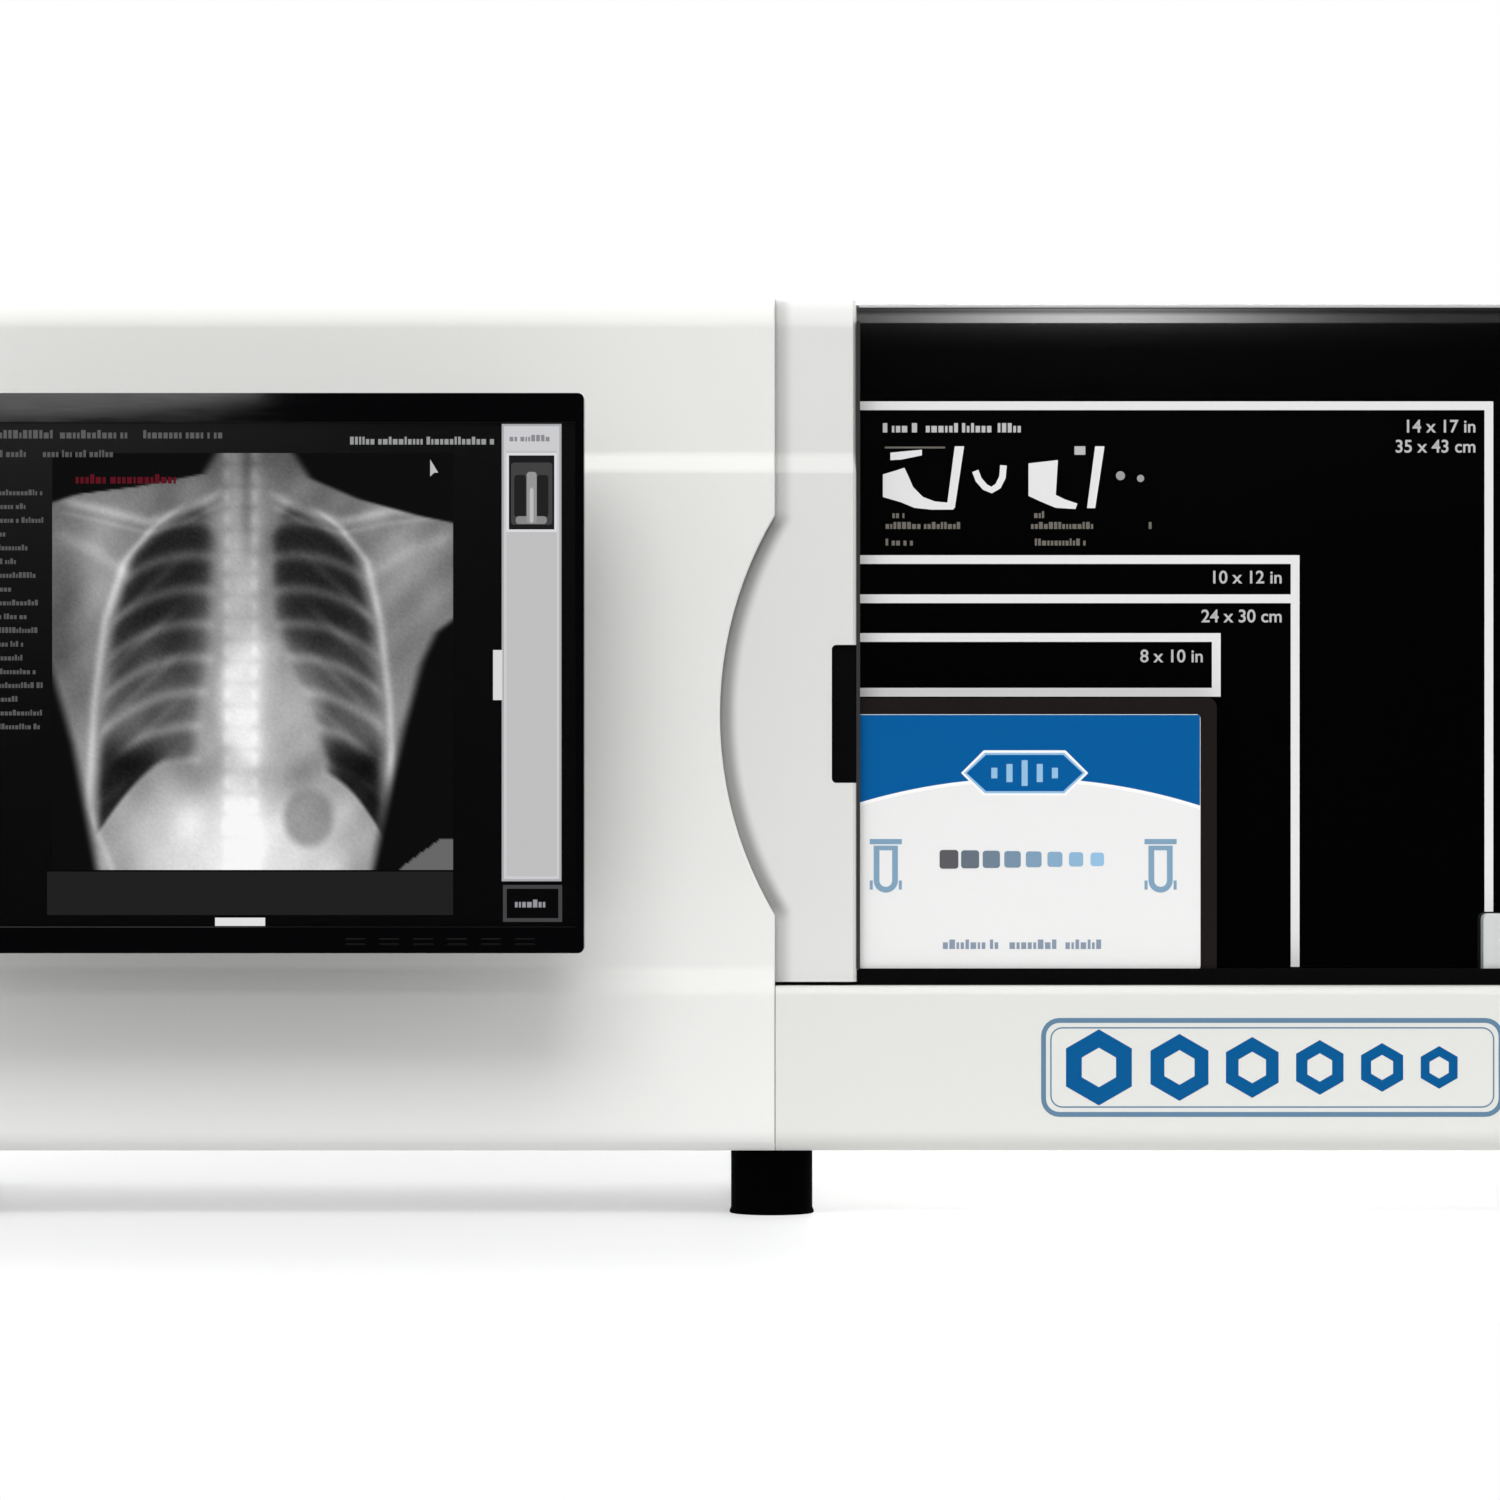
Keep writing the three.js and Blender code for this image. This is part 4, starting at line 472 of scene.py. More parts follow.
def refined(node, finish, width=0.6, angle=32, shaped=None, screwed=False):
    """The solid again with its hard edges and its creases rounded as a moulding's are."""
    shape = bmesh.new()
    shape.from_mesh(frame["nodes"][node].data)
    bmesh.ops.remove_doubles(shape, verts=shape.verts, dist=0.002 * MM)
    bmesh.ops.dissolve_limit(
        shape, angle_limit=math.radians(FLAT_ANGLE), verts=shape.verts, edges=shape.edges
    )
    if shaped:
        shaped(shape)
    creases = [
        edge
        for edge in shape.edges
        if edge.calc_face_angle(0) > math.radians(CREASE_ANGLE)
        and any(all(abs(vert.co.z / MM - level) < 0.1 for vert in edge.verts) for level in CREASES)
    ]
    round_edges(shape, creases, CREASE_ROUNDING, 3)
    for face in shape.faces:
        face.smooth = True
    made = linked(node + "_form", mesh_of(shape, node + "_form"))
    if screwed:
        cut_wells(made, cover_fixings(node))
    edge = made.modifiers.new("edge", "BEVEL")
    edge.width = width * MM
    edge.segments = 2
    edge.limit_method = "ANGLE"
    edge.angle_limit = math.radians(angle)
    made.modifiers.new("flats", "WEIGHTED_NORMAL").weight = 100
    seated(made, body_of(node), finish, [node])


def swept(name, section, places):
    """A closed bar with this section, as (depth, level) points, from place to place across."""
    shape = bmesh.new()
    start, end = [
        [shape.verts.new((place * MM, depth * MM, level * MM)) for depth, level in section]
        for place in places
    ]
    shape.faces.new(start[::-1])
    shape.faces.new(end)
    for index in range(len(section)):
        shape.faces.new([start[index - 1], start[index], end[index], end[index - 1]])
    bmesh.ops.recalc_face_normals(shape, faces=shape.faces)
    return linked(name, mesh_of(shape, name))


class Layer:
    """A thin printed layer of closed outlines, in millimetres across and up the machine."""

    def __init__(self, name):
        self.name, self.shapes = name, 0
        self.points, self.faces, self.tones = [], [], []

    def take(self, mesh, colour):
        """Adds a flat mesh in this colour, a step in front of the last one."""
        shape = bmesh.new()
        shape.from_mesh(mesh)
        bpy.data.meshes.remove(mesh)
        bmesh.ops.remove_doubles(shape, verts=shape.verts, dist=0.001 * MM)
        bmesh.ops.recalc_face_normals(shape, faces=shape.faces)
        shape.verts.index_update()
        first = len(self.points)
        rise = self.shapes * INK_STEP
        self.points += [(vert.co.x, -vert.co.z - rise, vert.co.y) for vert in shape.verts]
        self.faces += [[first + vert.index for vert in face.verts] for face in shape.faces]
        self.tones += [rgba(colour)] * len(shape.verts)
        self.shapes += 1
        shape.free()

    def fill(self, colour, *outlines):
        """Fills the area between closed outlines; an outline inside another is a hole."""
        curve = bpy.data.curves.new("outline", "CURVE")
        curve.dimensions, curve.fill_mode = "2D", "BOTH"
        curve.extrude = (INK_PROUD + INK_SUNK) / 2
        for outline in outlines:
            spline = curve.splines.new("POLY")
            spline.points.add(len(outline) - 1)
            for point, (across, up) in zip(spline.points, outline):
                point.co = (across * MM, up * MM, 0, 1)
            spline.use_cyclic_u = True
        self.take_curve(curve, colour)

    def write(self, colour, words, height, right, foot):
        """Sets figures of a given height, ending at the right."""
        curve = bpy.data.curves.new("figures", "FONT")
        curve.body, curve.align_x = words, "RIGHT"
        curve.size = height * MM / CAPITAL_SHARE
        curve.offset = FIGURE_FAT
        curve.extrude = (INK_PROUD + INK_SUNK) / 2
        self.take_curve(curve, colour, Matrix.Translation((right * MM, foot * MM, 0)))

    def take_curve(self, curve, colour, shift=Matrix.Identity(4)):
        made = linked("outline", curve)
        mesh = evaluated_mesh(made, "outline")
        mesh.transform(shift)
        bpy.data.objects.remove(made)
        self.take(mesh, colour)

    def bar(self, colour, left, foot, right, top):
        self.fill(colour, rectangle(left, foot, right, top))

    def border(self, colour, left, foot, right, top, line, radius=0.0):
        outer = rounded(left, foot, right, top, radius)
        inner = rounded(left + line, foot + line, right - line, top - line, max(radius - line, 0))
        self.fill(colour, outer, inner)

    def script(self, colour, left, foot, right, height, seed=1):
        """A row of small blocks of uneven width and height, as print looks from far off."""
        random = np.random.default_rng(seed)
        place, blocks = left, []
        while place < right - height * 0.3:
            wide = min(height * random.uniform(0.25, 0.6), right - place)
            tall = height * (1 if random.random() < 0.3 else 0.7)
            blocks.append(rectangle(place, foot, place + wide, foot + tall))
            place += wide + height * (0.5 if random.random() < 0.1 else 0.17)
        self.fill(colour, *blocks)

    def words(self, colour, spans, foot, height, seed):
        """Scripts in one line, each from a left to a right."""
        for word, (left, right) in enumerate(spans):
            self.script(colour, left, foot, right, height, seed + word)

    def print_on(self, face, body, finish):
        """Lays the layer on a face that looks to the front, at this depth."""
        mesh = toned(self.name, self.points, self.faces, self.tones)
        mesh.transform(Matrix.Translation((0, face - (INK_PROUD - INK_SUNK) / 2, 0)))
        seated(linked(self.name, mesh), body, finish)


def toned(name, points, faces, tones):
    """A mesh that carries a colour on each point."""
    mesh = bpy.data.meshes.new(name)
    mesh.from_pydata(points, [], faces)
    written = mesh.attributes.new("tone", "FLOAT_COLOR", "POINT")
    written.data.foreach_set("color", np.array(tones, np.float32).ravel())
    return mesh


def rectangle(left, foot, right, top):
    return [(left, foot), (right, foot), (right, top), (left, top)]


def arc(centre, radius, start, end, steps):
    """Points along an arc from one angle to another, in degrees."""
    angles = [math.radians(start + (end - start) * step / steps) for step in range(steps + 1)]
    return [(centre[0] + radius * math.cos(a), centre[1] + radius * math.sin(a)) for a in angles]


def rounded(left, foot, right, top, radius):
    if radius <= 0:
        return rectangle(left, foot, right, top)
    return [
        *arc((right - radius, top - radius), radius, 0, 90, 6),
        *arc((left + radius, top - radius), radius, 90, 180, 6),
        *arc((left + radius, foot + radius), radius, 180, 270, 6),
        *arc((right - radius, foot + radius), radius, 270, 360, 6),
    ]


def stroke(points, width):
    """A line of a given width along points, as a closed outline."""
    left, right = [], []
    for index, point in enumerate(points):
        before = Vector(points[max(index - 1, 0)])
        after = Vector(points[min(index + 1, len(points) - 1)])
        side = (after - before).normalized().orthogonal() * width / 2
        left.append(tuple(Vector(point) + side))
        right.append(tuple(Vector(point) - side))
    return [*left, *reversed(right)]


# Covers, rail and feet

refined("front_cover", white_cover, shaped=ease_seam)
refined("right_side_panel", white_cover)
refined("lower_cover", wing_white)
for node, finish in (
    ("rear_cover", white_cover),
    ("left_end_cap", white_cover),
    ("wing_rear_cover", wing_white),
    ("right_end_cap", wing_white),
):
    refined(node, finish, screwed=True)
refined("slot_cover", slot_white, shaped=trim_rib)
refined("cassette_panel", panel_black, 0.5, shaped=bow_panel)
refined("cassette_rail", rail_black, 0.4)
refined("end_stop", pale_grey, 0.8)
for node in ("foot_front_left", "foot_rear_left", "foot_front_middle", "foot_rear_middle"):
    refined(node, foot_black, 0.6, 60)


def panel_trim():
    """The satin line along the black panel's rounded top, 0.2 mm proud of it."""
    low, high = (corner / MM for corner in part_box("cassette_panel"))
    radius, start, end = 10, 133, 104
    middle = (low.y + radius, high.z - radius)
    outer = arc(middle, radius + 0.2, start, end, 8)
    inner = arc(middle, radius - 0.3, start - 1, end + 1, 8)
    trim = swept("panel_top_trim", [*outer, *reversed(inner)], (56, high.x - 1))
    seated(trim, "root", trim_grey)


def slot_shade_strip():
    """A dark strip in the gap between the slot cover and the cassette: painted shade, a dark sheet put
    where shadow falls beside the slot cover.
    """
    low, high = (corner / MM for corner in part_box("slot_cover"))
    front, back, foot, top = low.y + 3, low.y + 7.6, 163, 590
    section = [(front, foot), (back, foot), (back, top), (front, top)]
    shade_strip = swept("slot_shade_strip", section, (high.x - 0.2, high.x + 2.2))
    seated(shade_strip, "root", shade_strip_black)


panel_trim()
slot_shade_strip()

# Monitor

refined("monitor_bezel", bezel_black, 0.7)
refined("monitor_rear_shell", satin_black, 0.6)
for key in range(1, 7):
    refined(f"monitor_key_{key}", bezel_black, 0.25)
refined("monitor_screen", screen_dark, 0.3)

# Cassette

refined("cassette_shell", case_black, 0.5)
refined("cassette_front_panel", label_film, 0.25)


# Solids that stay as they are

PLAIN_FINISHES = {
    "zinc_steel": zinc,
    "mount_steel": ground_steel,
    "bare_aluminium": milled,
    "black_plastic": satin_black,
    "phosphor_white": phosphor,
    "belt_rubber": belt_black,
    "mirror_coat": mirror,
    "clear_acrylic": acrylic,
    "lamp_glass": lamp_white,
    "board_green": board_green,
}
for entry in frame["record"]["subparts"]:
    solid = frame["nodes"][entry["node"]]
    if not solid.hide_render:
        solid.data.materials.clear()
        solid.data.materials.append(PLAIN_FINISHES[entry["material_slot"]].material)

# Prints on the black panel

WHITE_INK = (0.8, 0.8, 0.8)
FIGURE_INK = (0.5, 0.5, 0.5)
GREY_INK = (0.33, 0.33, 0.33)
DIM_INK = (0.15, 0.14, 0.12)

PANEL_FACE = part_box("cassette_panel")[0].y

# The size outlines' common left end, the width of their lines and the height of their figures
OUTLINE_LEFT, OUTLINE_LINE, FIGURE_HEIGHT = 54.4, 5.8, 8.2


def size_outlines():
    """The outlines that show where each size of cassette reaches, from one corner."""
    layer = Layer("size_outlines")
    corners = [(476.5, 538.4, 200.0), (348.0, 436.4, 163.4), (295.7, 384.7, 342.6)]
    for right, top, foot in corners:
        layer.bar(WHITE_INK, OUTLINE_LEFT, top - OUTLINE_LINE, right, top)
        layer.bar(WHITE_INK, right - OUTLINE_LINE, foot, right, top - OUTLINE_LINE)
    layer.bar(WHITE_INK, OUTLINE_LEFT, 404.6, 342.2, 404.6 + OUTLINE_LINE)
    layer.bar(WHITE_INK, OUTLINE_LEFT, 342.6, 289.9, 342.6 + OUTLINE_LINE)
    figures = [
        ("14 x 17 in", 465.2, 517.9),
        ("35 x 43 cm", 465.2, 504.6),
        ("10 x 12 in", 336.7, 417.8),
        ("24 x 30 cm", 336.7, 392.0),
        ("8 x 10 in", 284.4, 365.5),
    ]
    for words, right, foot in figures:
        layer.write(FIGURE_INK, words, FIGURE_HEIGHT, right, foot)
    layer.print_on(PANEL_FACE, "root", ink)


def loading_signs():
    """Two small pictures of a cassette being set on the rail, with rows of marks."""
    layer = Layer("loading_signs")
    spans = ((71.7, 97.2), (100.2, 121.5), (124.2, 145.9), (147.9, 163.2))
    layer.words(FIGURE_INK, spans, 517.8, 6.2, 0)
    first = [(71.7, 490), (79.5, 492.3), (86, 494.4), (89, 488), (91.8, 481.5), (98.3, 475)]
    first += [(106.3, 472), (114.2, 471.3), (119.5, 470.6), (118.5, 466.6), (104, 466.6)]
    first += [(92.6, 467.8), (84, 471.4), (71.7, 475)]
    second = [(168.3, 497.3), (187.8, 499.5), (186.4, 476.4), (192.2, 473.5), (200.8, 470.6)]
    second += [(199.4, 467), (186.4, 467.8), (176.3, 472), (168.3, 475.7)]
    for slab, left in ((first, 114), (second, 207.1)):
        layer.fill(WHITE_INK, slab)
        wall = [(left, 467.6), (left + 5.4, 467.6), (left + 11.6, 508.6), (left + 5.4, 508.6)]
        layer.fill(WHITE_INK, wall)
    layer.fill(WHITE_INK, [(76.7, 499.4), (84, 499.8), (97.6, 502.6), (97.6, 506.4), (76.7, 504.4)])
    layer.fill(FIGURE_INK, rectangle(198.8, 503, 206, 508.6))
    layer.bar(DIM_INK, 73, 507.2, 113, 508.4)
    hook = [(133, 492.3), (135.2, 486.5), (139.5, 481.5), (143.8, 479.6), (148.1, 482.2), (151, 488)]
    layer.fill(WHITE_INK, stroke([*hook, (151.7, 496)], 4.4))
    for place, level, reach in ((229.3, 489.1, 3.0), (242.6, 487.3, 2.4)):
        layer.fill(GREY_INK, arc((place, level), reach, 0, 345, 23))
    rows = [(78, 461, 86.5), (73.5, 453.8, 125), (73.5, 442.8, 92.5)]
    rows += [(172, 461, 180.5), (170, 453.8, 213), (172.5, 442.8, 206.5), (248, 453.8, 253)]
    for row, (left, foot, right) in enumerate(rows):
        layer.script(DIM_INK, left, foot, right, 4.6, 20 + row)
    layer.print_on(PANEL_FACE, "root", ink)


size_outlines()
loading_signs()

# Label on the cassette

LABEL_BLUE = (0.0, 0.1, 0.32)
RIM_WHITE = (0.95, 0.95, 0.95)
PALE_BLUE = (0.3, 0.52, 0.74)
MARK_BLUE = (0.22, 0.36, 0.5)
MARK_GREY = (0.1, 0.1, 0.11)
MARK_SLATE = (0.25, 0.31, 0.4)

LABEL_LOW, LABEL_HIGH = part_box("cassette_front_panel")


def label_print():
    """A blue band with an arched lower edge, two arrows and plain marks."""
    layer = Layer("cassette_label_print")
    margin = 0.4
    left, right = LABEL_LOW.x / MM + margin, LABEL_HIGH.x / MM - margin
    top = LABEL_HIGH.z / MM - margin
    places = np.linspace(left, right, 41)
    arch = [(x, 288.7 - 0.00136 * (x - 165.1) ** 2) for x in places]
    layer.fill(LABEL_BLUE, [*arch, (right, top), (left, top)])
    layer.fill(RIM_WHITE, [*[(x, y - 2.6) for x, y in arch], *reversed(arch)])
    for middle in (73.3, 254.8):
        arrow = [*arc((middle, 221), 8, 180, 360, 12), (middle + 8, 244), (middle - 8, 244)]
        slot = [*arc((middle, 221), 4.2, 180, 360, 12), (middle + 4.2, 241), (middle - 4.2, 241)]
        layer.fill(MARK_BLUE, arrow, slot)
        layer.bar(MARK_BLUE, middle - 10.6, 245, middle + 10.6, 248.4)
        layer.bar(MARK_BLUE, middle - 10.6, 215, middle - 8.6, 221)
        layer.bar(MARK_BLUE, middle + 8.6, 215, middle + 10.6, 221)
    for inset, colour in ((0, RIM_WHITE), (1.6, PALE_BLUE), (3.0, LABEL_BLUE)):
        low, high = 277 + inset, 307 - inset
        ends = [(123 + inset * 1.2, 292), (138 + inset * 0.5, low), (192 - inset * 0.5, low)]
        ends += [(207 - inset * 1.2, 292), (192 - inset * 0.5, high), (138 + inset * 0.5, high)]
        layer.fill(colour, ends)
    for step, rise in enumerate((7, 12, 17, 12, 7)):
        place = 145 + step * 10
        layer.bar(PALE_BLUE, place - 2, 292 - rise / 2, place + 2, 292 + rise / 2)
    for step in range(8):
        shade = [dull + (blue - dull) * step / 7 for dull, blue in zip(MARK_GREY, PALE_BLUE)]
        place, reach = 115 + step * 14, 6.2 - step * 0.25
        layer.fill(shade, rounded(place - reach, 235 - reach, place + reach, 235 + reach, 2))
    layer.words(MARK_SLATE, ((111, 150), (155, 188), (192, 217)), 175.8, 6.2, 50)
    layer.print_on(LABEL_LOW.y, "cassette", ink)


label_print()

# Plate on the lower cover

PLATE_BLUE = (0.0, 0.09, 0.27)
PLATE_LINE = (0.12, 0.22, 0.33)


def hexagon_plate():
    """An outlined plate that carries a row of plain hexagons."""
    layer = Layer("front_plate")
    layer.border(PLATE_LINE, 175, 66, 479, 131, 3.2, 12)
    layer.border(PLATE_LINE, 181, 72, 473, 125, 0.9, 8)
    place = 213
    for size in (25, 22, 20, 18, 16, 14):
        corners = [arc((place, 98.5), reach, 30, 330, 5) for reach in (size, size * 0.52)]
        layer.fill(PLATE_BLUE, *corners)
        place += size * 1.72 + 10
    layer.print_on(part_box("lower_cover")[0].y, "root", ink)


hexagon_plate()

# What the screen shows

SCREEN_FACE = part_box("monitor_screen")[0].y

# The picture's left, foot, right and top in millimetres, and its points across and down
PICTURE = (-465.0, 230.1, -207.3, 498.1)
PICTURE_STEPS = (215, 224)


def ease(low, high, value):
    share = np.clip((value - low) / (high - low), 0, 1)
    return share * share * (3 - 2 * share)


def radiograph(across, down):
    """Brightness of a plain chest radiograph, drawn from a few soft shapes."""

    def follow(*points):
        levels, places = zip(*points)
        return np.interp(down, levels, places)

    def blob(x, y, wide, tall, soft=0.35):
        return 1 - ease(1 - soft, 1 + soft, np.hypot((across - x) / wide, (down - y) / tall))

    def bell(off, wide, power=2):
        return np.exp(-((off / wide) ** power))

    def line(points, wide, fade=0.03):
        xs, ys = zip(*points)
        start = ease(xs[0] - fade, xs[0] + fade, across)
        end = ease(xs[-1] - fade, xs[-1] + fade, across)
        return bell(down - np.interp(across, xs, ys), wide) * start * (1 - end)

    random = np.random.default_rng(7)
    waves = 12
    cloud = sum(
        np.sin(across * random.uniform(20, 70) + down * random.uniform(-60, 60) + random.uniform(0, 6))
        for _ in range(waves)
    )
    cloud /= waves

    # Outline of the body
    left_side = follow(
        (0, 0.39), (0.05, 0.36), (0.08, 0.2), (0.1, 0.04), (0.13, -0.05), (0.44, -0.05), (0.55, -0.01),
        (0.7, 0.035), (1, 0.095),
    )
    right_side = follow(
        (0, 0.62), (0.06, 0.66), (0.11, 0.78), (0.15, 0.93), (0.17, 1.03), (0.39, 1.03), (0.43, 0.975),
        (0.5, 0.94), (0.66, 0.895), (0.8, 0.86), (1, 0.815),
    )
    flesh = ease(left_side - 0.004, left_side + 0.035, across)
    flesh = flesh * (1 - ease(right_side - 0.035, right_side + 0.004, across))
    middle = np.abs(across - 0.47)
    picture = 0.44 + 0.1 * ease(0.3, 0.8, down) - 0.1 * ease(0.1, 0.0, down) + 0.1 * cloud
    picture += 0.16 * blob(0.1, 0.27, 0.09, 0.16, 0.8)
    picture += 0.12 * blob(0.88, 0.27, 0.09, 0.14, 0.8)
    picture -= 0.16 * blob(0.03, 0.36, 0.05, 0.2, 0.9)
    belly = ease(0.74, 0.9, down)
    picture += belly * (0.3 * (1 - ease(0.12, 0.36, middle)) + 0.05)

    # Lungs and their ribs
    lungs = [
        (
            follow(
                (0.1, 0.37), (0.16, 0.27), (0.24, 0.19), (0.4, 0.14), (0.6, 0.115), (0.8, 0.1),
                (0.9, 0.1),
            ),
            follow((0.1, 0.39), (0.2, 0.415), (0.5, 0.41), (0.62, 0.385), (0.76, 0.37)),
            0.74 + 2.2 * np.clip(0.28 - across, 0, 1) ** 1.42,
            0.43,
            across < 0.47,
        ),
        (
            follow((0.1, 0.58), (0.2, 0.535), (0.4, 0.54), (0.5, 0.575), (0.62, 0.635), (0.74, 0.67)),
            follow((0.1, 0.6), (0.17, 0.7), (0.24, 0.77), (0.4, 0.81), (0.6, 0.832), (0.9, 0.84)),
            0.76 + 4.4 * np.clip(across - 0.65, 0, 1) ** 1.9,
            0.53,
            across > 0.47,
        ),
    ]
    for inner, outer, dome, root, side in lungs:
        air = ease(inner, inner + 0.03, across) * (1 - ease(outer - 0.035, outer + 0.01, across)) * side
        air = air * ease(0.1, 0.17, down) * (1 - ease(dome - 0.01, dome + 0.01, down))
        aside = np.abs(across - root)
        wall = np.minimum(across - inner, outer - across)
        low = ease(0.66, 0.75, down) * ease(0.1, 0.2, aside)
        dark = (0.13 + 0.2 * ease(0.35, 0.65, down)) * (1 - 0.72 * low)
        hilum = 0.16 * bell(aside, 0.07) * ease(0.25, 0.45, down)
        behind = (down + 0.3 * aside - 1.9 * aside**2 + 0.03) * 12.2
        front = (down - 0.75 * aside - 0.4 * aside**2) * 8.9
        ribs = 0.16 * bell(behind % 1 - 0.5, 0.19)
        ribs = ribs + 0.07 * bell(front % 1 - 0.5, 0.13) * ease(0.07, 0.16, aside)
        ribs = ribs * (1 - 0.75 * low)
        texture = 0.07 * cloud * ease(0.2, 0.5, down)
        inside = dark + hilum + ribs + texture + 0.1 * (1 - ease(0.0, 0.05, wall))
        picture += air * (inside - picture)
        rim = bell(down - dome, 0.009) * side * (across > inner) * (across < outer)
        picture += 0.04 * rim * (down > 0.6)

    # Chest wall, collar bones, shoulder blades
    walls = [
        follow(
            (0.12, 0.33), (0.18, 0.25), (0.26, 0.18), (0.4, 0.132), (0.6, 0.105), (0.85, 0.09),
            (1, 0.15),
        ),
        follow(
            (0.12, 0.64), (0.18, 0.72), (0.26, 0.785), (0.4, 0.818), (0.6, 0.842), (0.85, 0.85),
            (1, 0.8),
        ),
    ]
    for wall in walls:
        edge = bell(across - wall, 0.011) * ease(0.1, 0.2, down)
        picture += 0.2 * edge * (1 - belly * 0.5)
    bones = (
        ((0.03, 0.115), (0.12, 0.135), (0.24, 0.165), (0.33, 0.14), (0.42, 0.095)),
        ((0.55, 0.1), (0.63, 0.14), (0.72, 0.165), (0.84, 0.14), (0.94, 0.13)),
    )
    for points in bones:
        picture += 0.16 * line(points, 0.013)
        lower = [(x, y + 0.028) for x, y in points]
        picture += 0.07 * line(lower, 0.007)
    for points in (((0.02, 0.2), (0.1, 0.23), (0.2, 0.3)), ((0.8, 0.29), (0.9, 0.23), (0.99, 0.2))):
        picture += 0.09 * line(points, 0.02)

    # Heart, spine, windpipe, stomach
    vertebrae = 19
    heart = blob(0.545, 0.6, 0.13, 0.16, 0.22)
    picture = picture + 0.14 * heart + 0.12 * blob(0.46, 0.5, 0.1, 0.34, 0.5)
    column = bell(across - 0.475, 0.05, 4)
    joints = bell(down * vertebrae % 1 - 0.5, 0.13)
    rise = follow((0, 0.1), (0.12, 0.14), (0.3, 0.14), (0.5, 0.15), (0.7, 0.15), (0.86, 0.1), (1, 0.11))
    picture += column * (rise - 0.025 * joints)
    pegs = bell(middle - 0.035, 0.009) * (0.5 + 0.5 * np.cos(down * 2 * math.pi * vertebrae))
    picture += 0.07 * pegs
    windpipe = bell(across - 0.485, 0.016) * (1 - ease(0.18, 0.3, down))
    picture -= 0.13 * windpipe
    bubble = blob(0.64, 0.875, 0.062, 0.07, 0.25)
    picture += bubble * (0.5 + 0.06 * cloud - picture) * 0.75
    picture = np.clip(picture + 0.012 * random.standard_normal(picture.shape), 0.0, 0.97) * flesh
    corner = (across > 0.865) & (down > 0.925 + (0.97 - across).clip(0) * 0.7)
    return np.where(corner, 0.4, picture)


def screen_picture():
    """The radiograph as a fine sheet on the screen, with its brightness written on each corner."""
    left, foot, right, top = PICTURE
    columns, rows = PICTURE_STEPS
    across, down = np.meshgrid(np.linspace(0, 1, columns), np.linspace(0, 1, rows))
    bright = radiograph(across, down).ravel() ** 2.2
    xs = (left + (right - left) * across).ravel() * MM
    zs = (top - (top - foot) * down).ravel() * MM
    front = np.column_stack([xs, np.full(xs.size, SCREEN_FACE - INK_PROUD), zs])
    back = front + (0, INK_PROUD + INK_SUNK, 0)
    faces = []
    for row in range(rows - 1):
        for column in range(columns - 1):
            here = row * columns + column
            faces.append((here, here + columns, here + columns + 1, here + 1))
    edge = [*range(columns), *range(2 * columns - 1, rows * columns, columns)]
    edge += [*range(rows * columns - 2, (rows - 1) * columns - 1, -1)]
    edge += [*range((rows - 2) * columns, 0, -columns)]
    behind = {corner: rows * columns + index for index, corner in enumerate(edge)}
    for index, corner in enumerate(edge):
        following = edge[(index + 1) % len(edge)]
        faces.append((corner, following, behind[following], behind[corner]))
    faces.append(tuple(behind[corner] for corner in edge))
    shades = np.concatenate([bright, bright[edge]])
    tones = np.column_stack([shades, shades, shades, np.ones(shades.size)])
    mesh = toned("screen_picture", [*front.tolist(), *back[edge].tolist()], faces, tones)
    seated(linked("screen_picture", mesh), "monitor", lit)


def screen_marks():
    """The columns, rules and buttons round the picture."""
    layer = Layer("screen_marks")
    dim, soft, pale, dark = [(level,) * 3 for level in (0.09, 0.1, 0.5, 0.011)]
    spans = ((-552, -521), (-515, -464), (-460, -416), (-406.5, -354.5))
    layer.words(soft, spans, 507.5, 5.4, 80)
    layer.words(dim, ((-552, -482), (-471, -426)), 495.5, 4.6, 86)
    random = np.random.default_rng(4)
    for row in range(18):
        layer.script(dim, -553, 471 - row * 8.85, -486 + random.uniform(-9, 16), 3.6, 100 + row)
    layer.script((0.1, 0.003, 0.01), -450, 478.5, -385, 6, 91)
    layer.script((0.3, 0.31, 0.3), -273.5, 503.6, -181, 5.0, 92)
    layer.fill(pale, [(-222, 494), (-222, 483), (-219.4, 485.5), (-216.8, 485.5)])
    layer.bar((0.4, 0.4, 0.42), -176, 222.8, -137.6, 516.8)
    layer.bar((0.6, 0.6, 0.62), -174.6, 224.2, -139, 515.4)
    layer.bar((0.52, 0.52, 0.52), -173, 226, -140.6, 499.6)
    layer.bar((0.7, 0.7, 0.72), -173, 447.4, -140.6, 498.2)
    layer.bar((0.008, 0.008, 0.01), -171.4, 449, -142.2, 496.6)
    layer.script((0.25, 0.25, 0.27), -171, 505.6, -144, 4.2, 93)
    layer.bar((0.7, 0.7, 0.7), -181.6, 339.3, -175.6, 371.5)
    layer.border((0.055, 0.055, 0.06), -175.2, 196.7, -137.2, 220.4, 2.4)
    layer.script((0.3, 0.3, 0.32), -167.5, 206, -146, 5, 94)
    layer.bar(dark, -468.3, 201.1, -207.3, 229)
    layer.bar((0.75, 0.75, 0.75), -360.3, 194.1, -328.1, 199.4)
    layer.print_on(SCREEN_FACE, "monitor", lit)


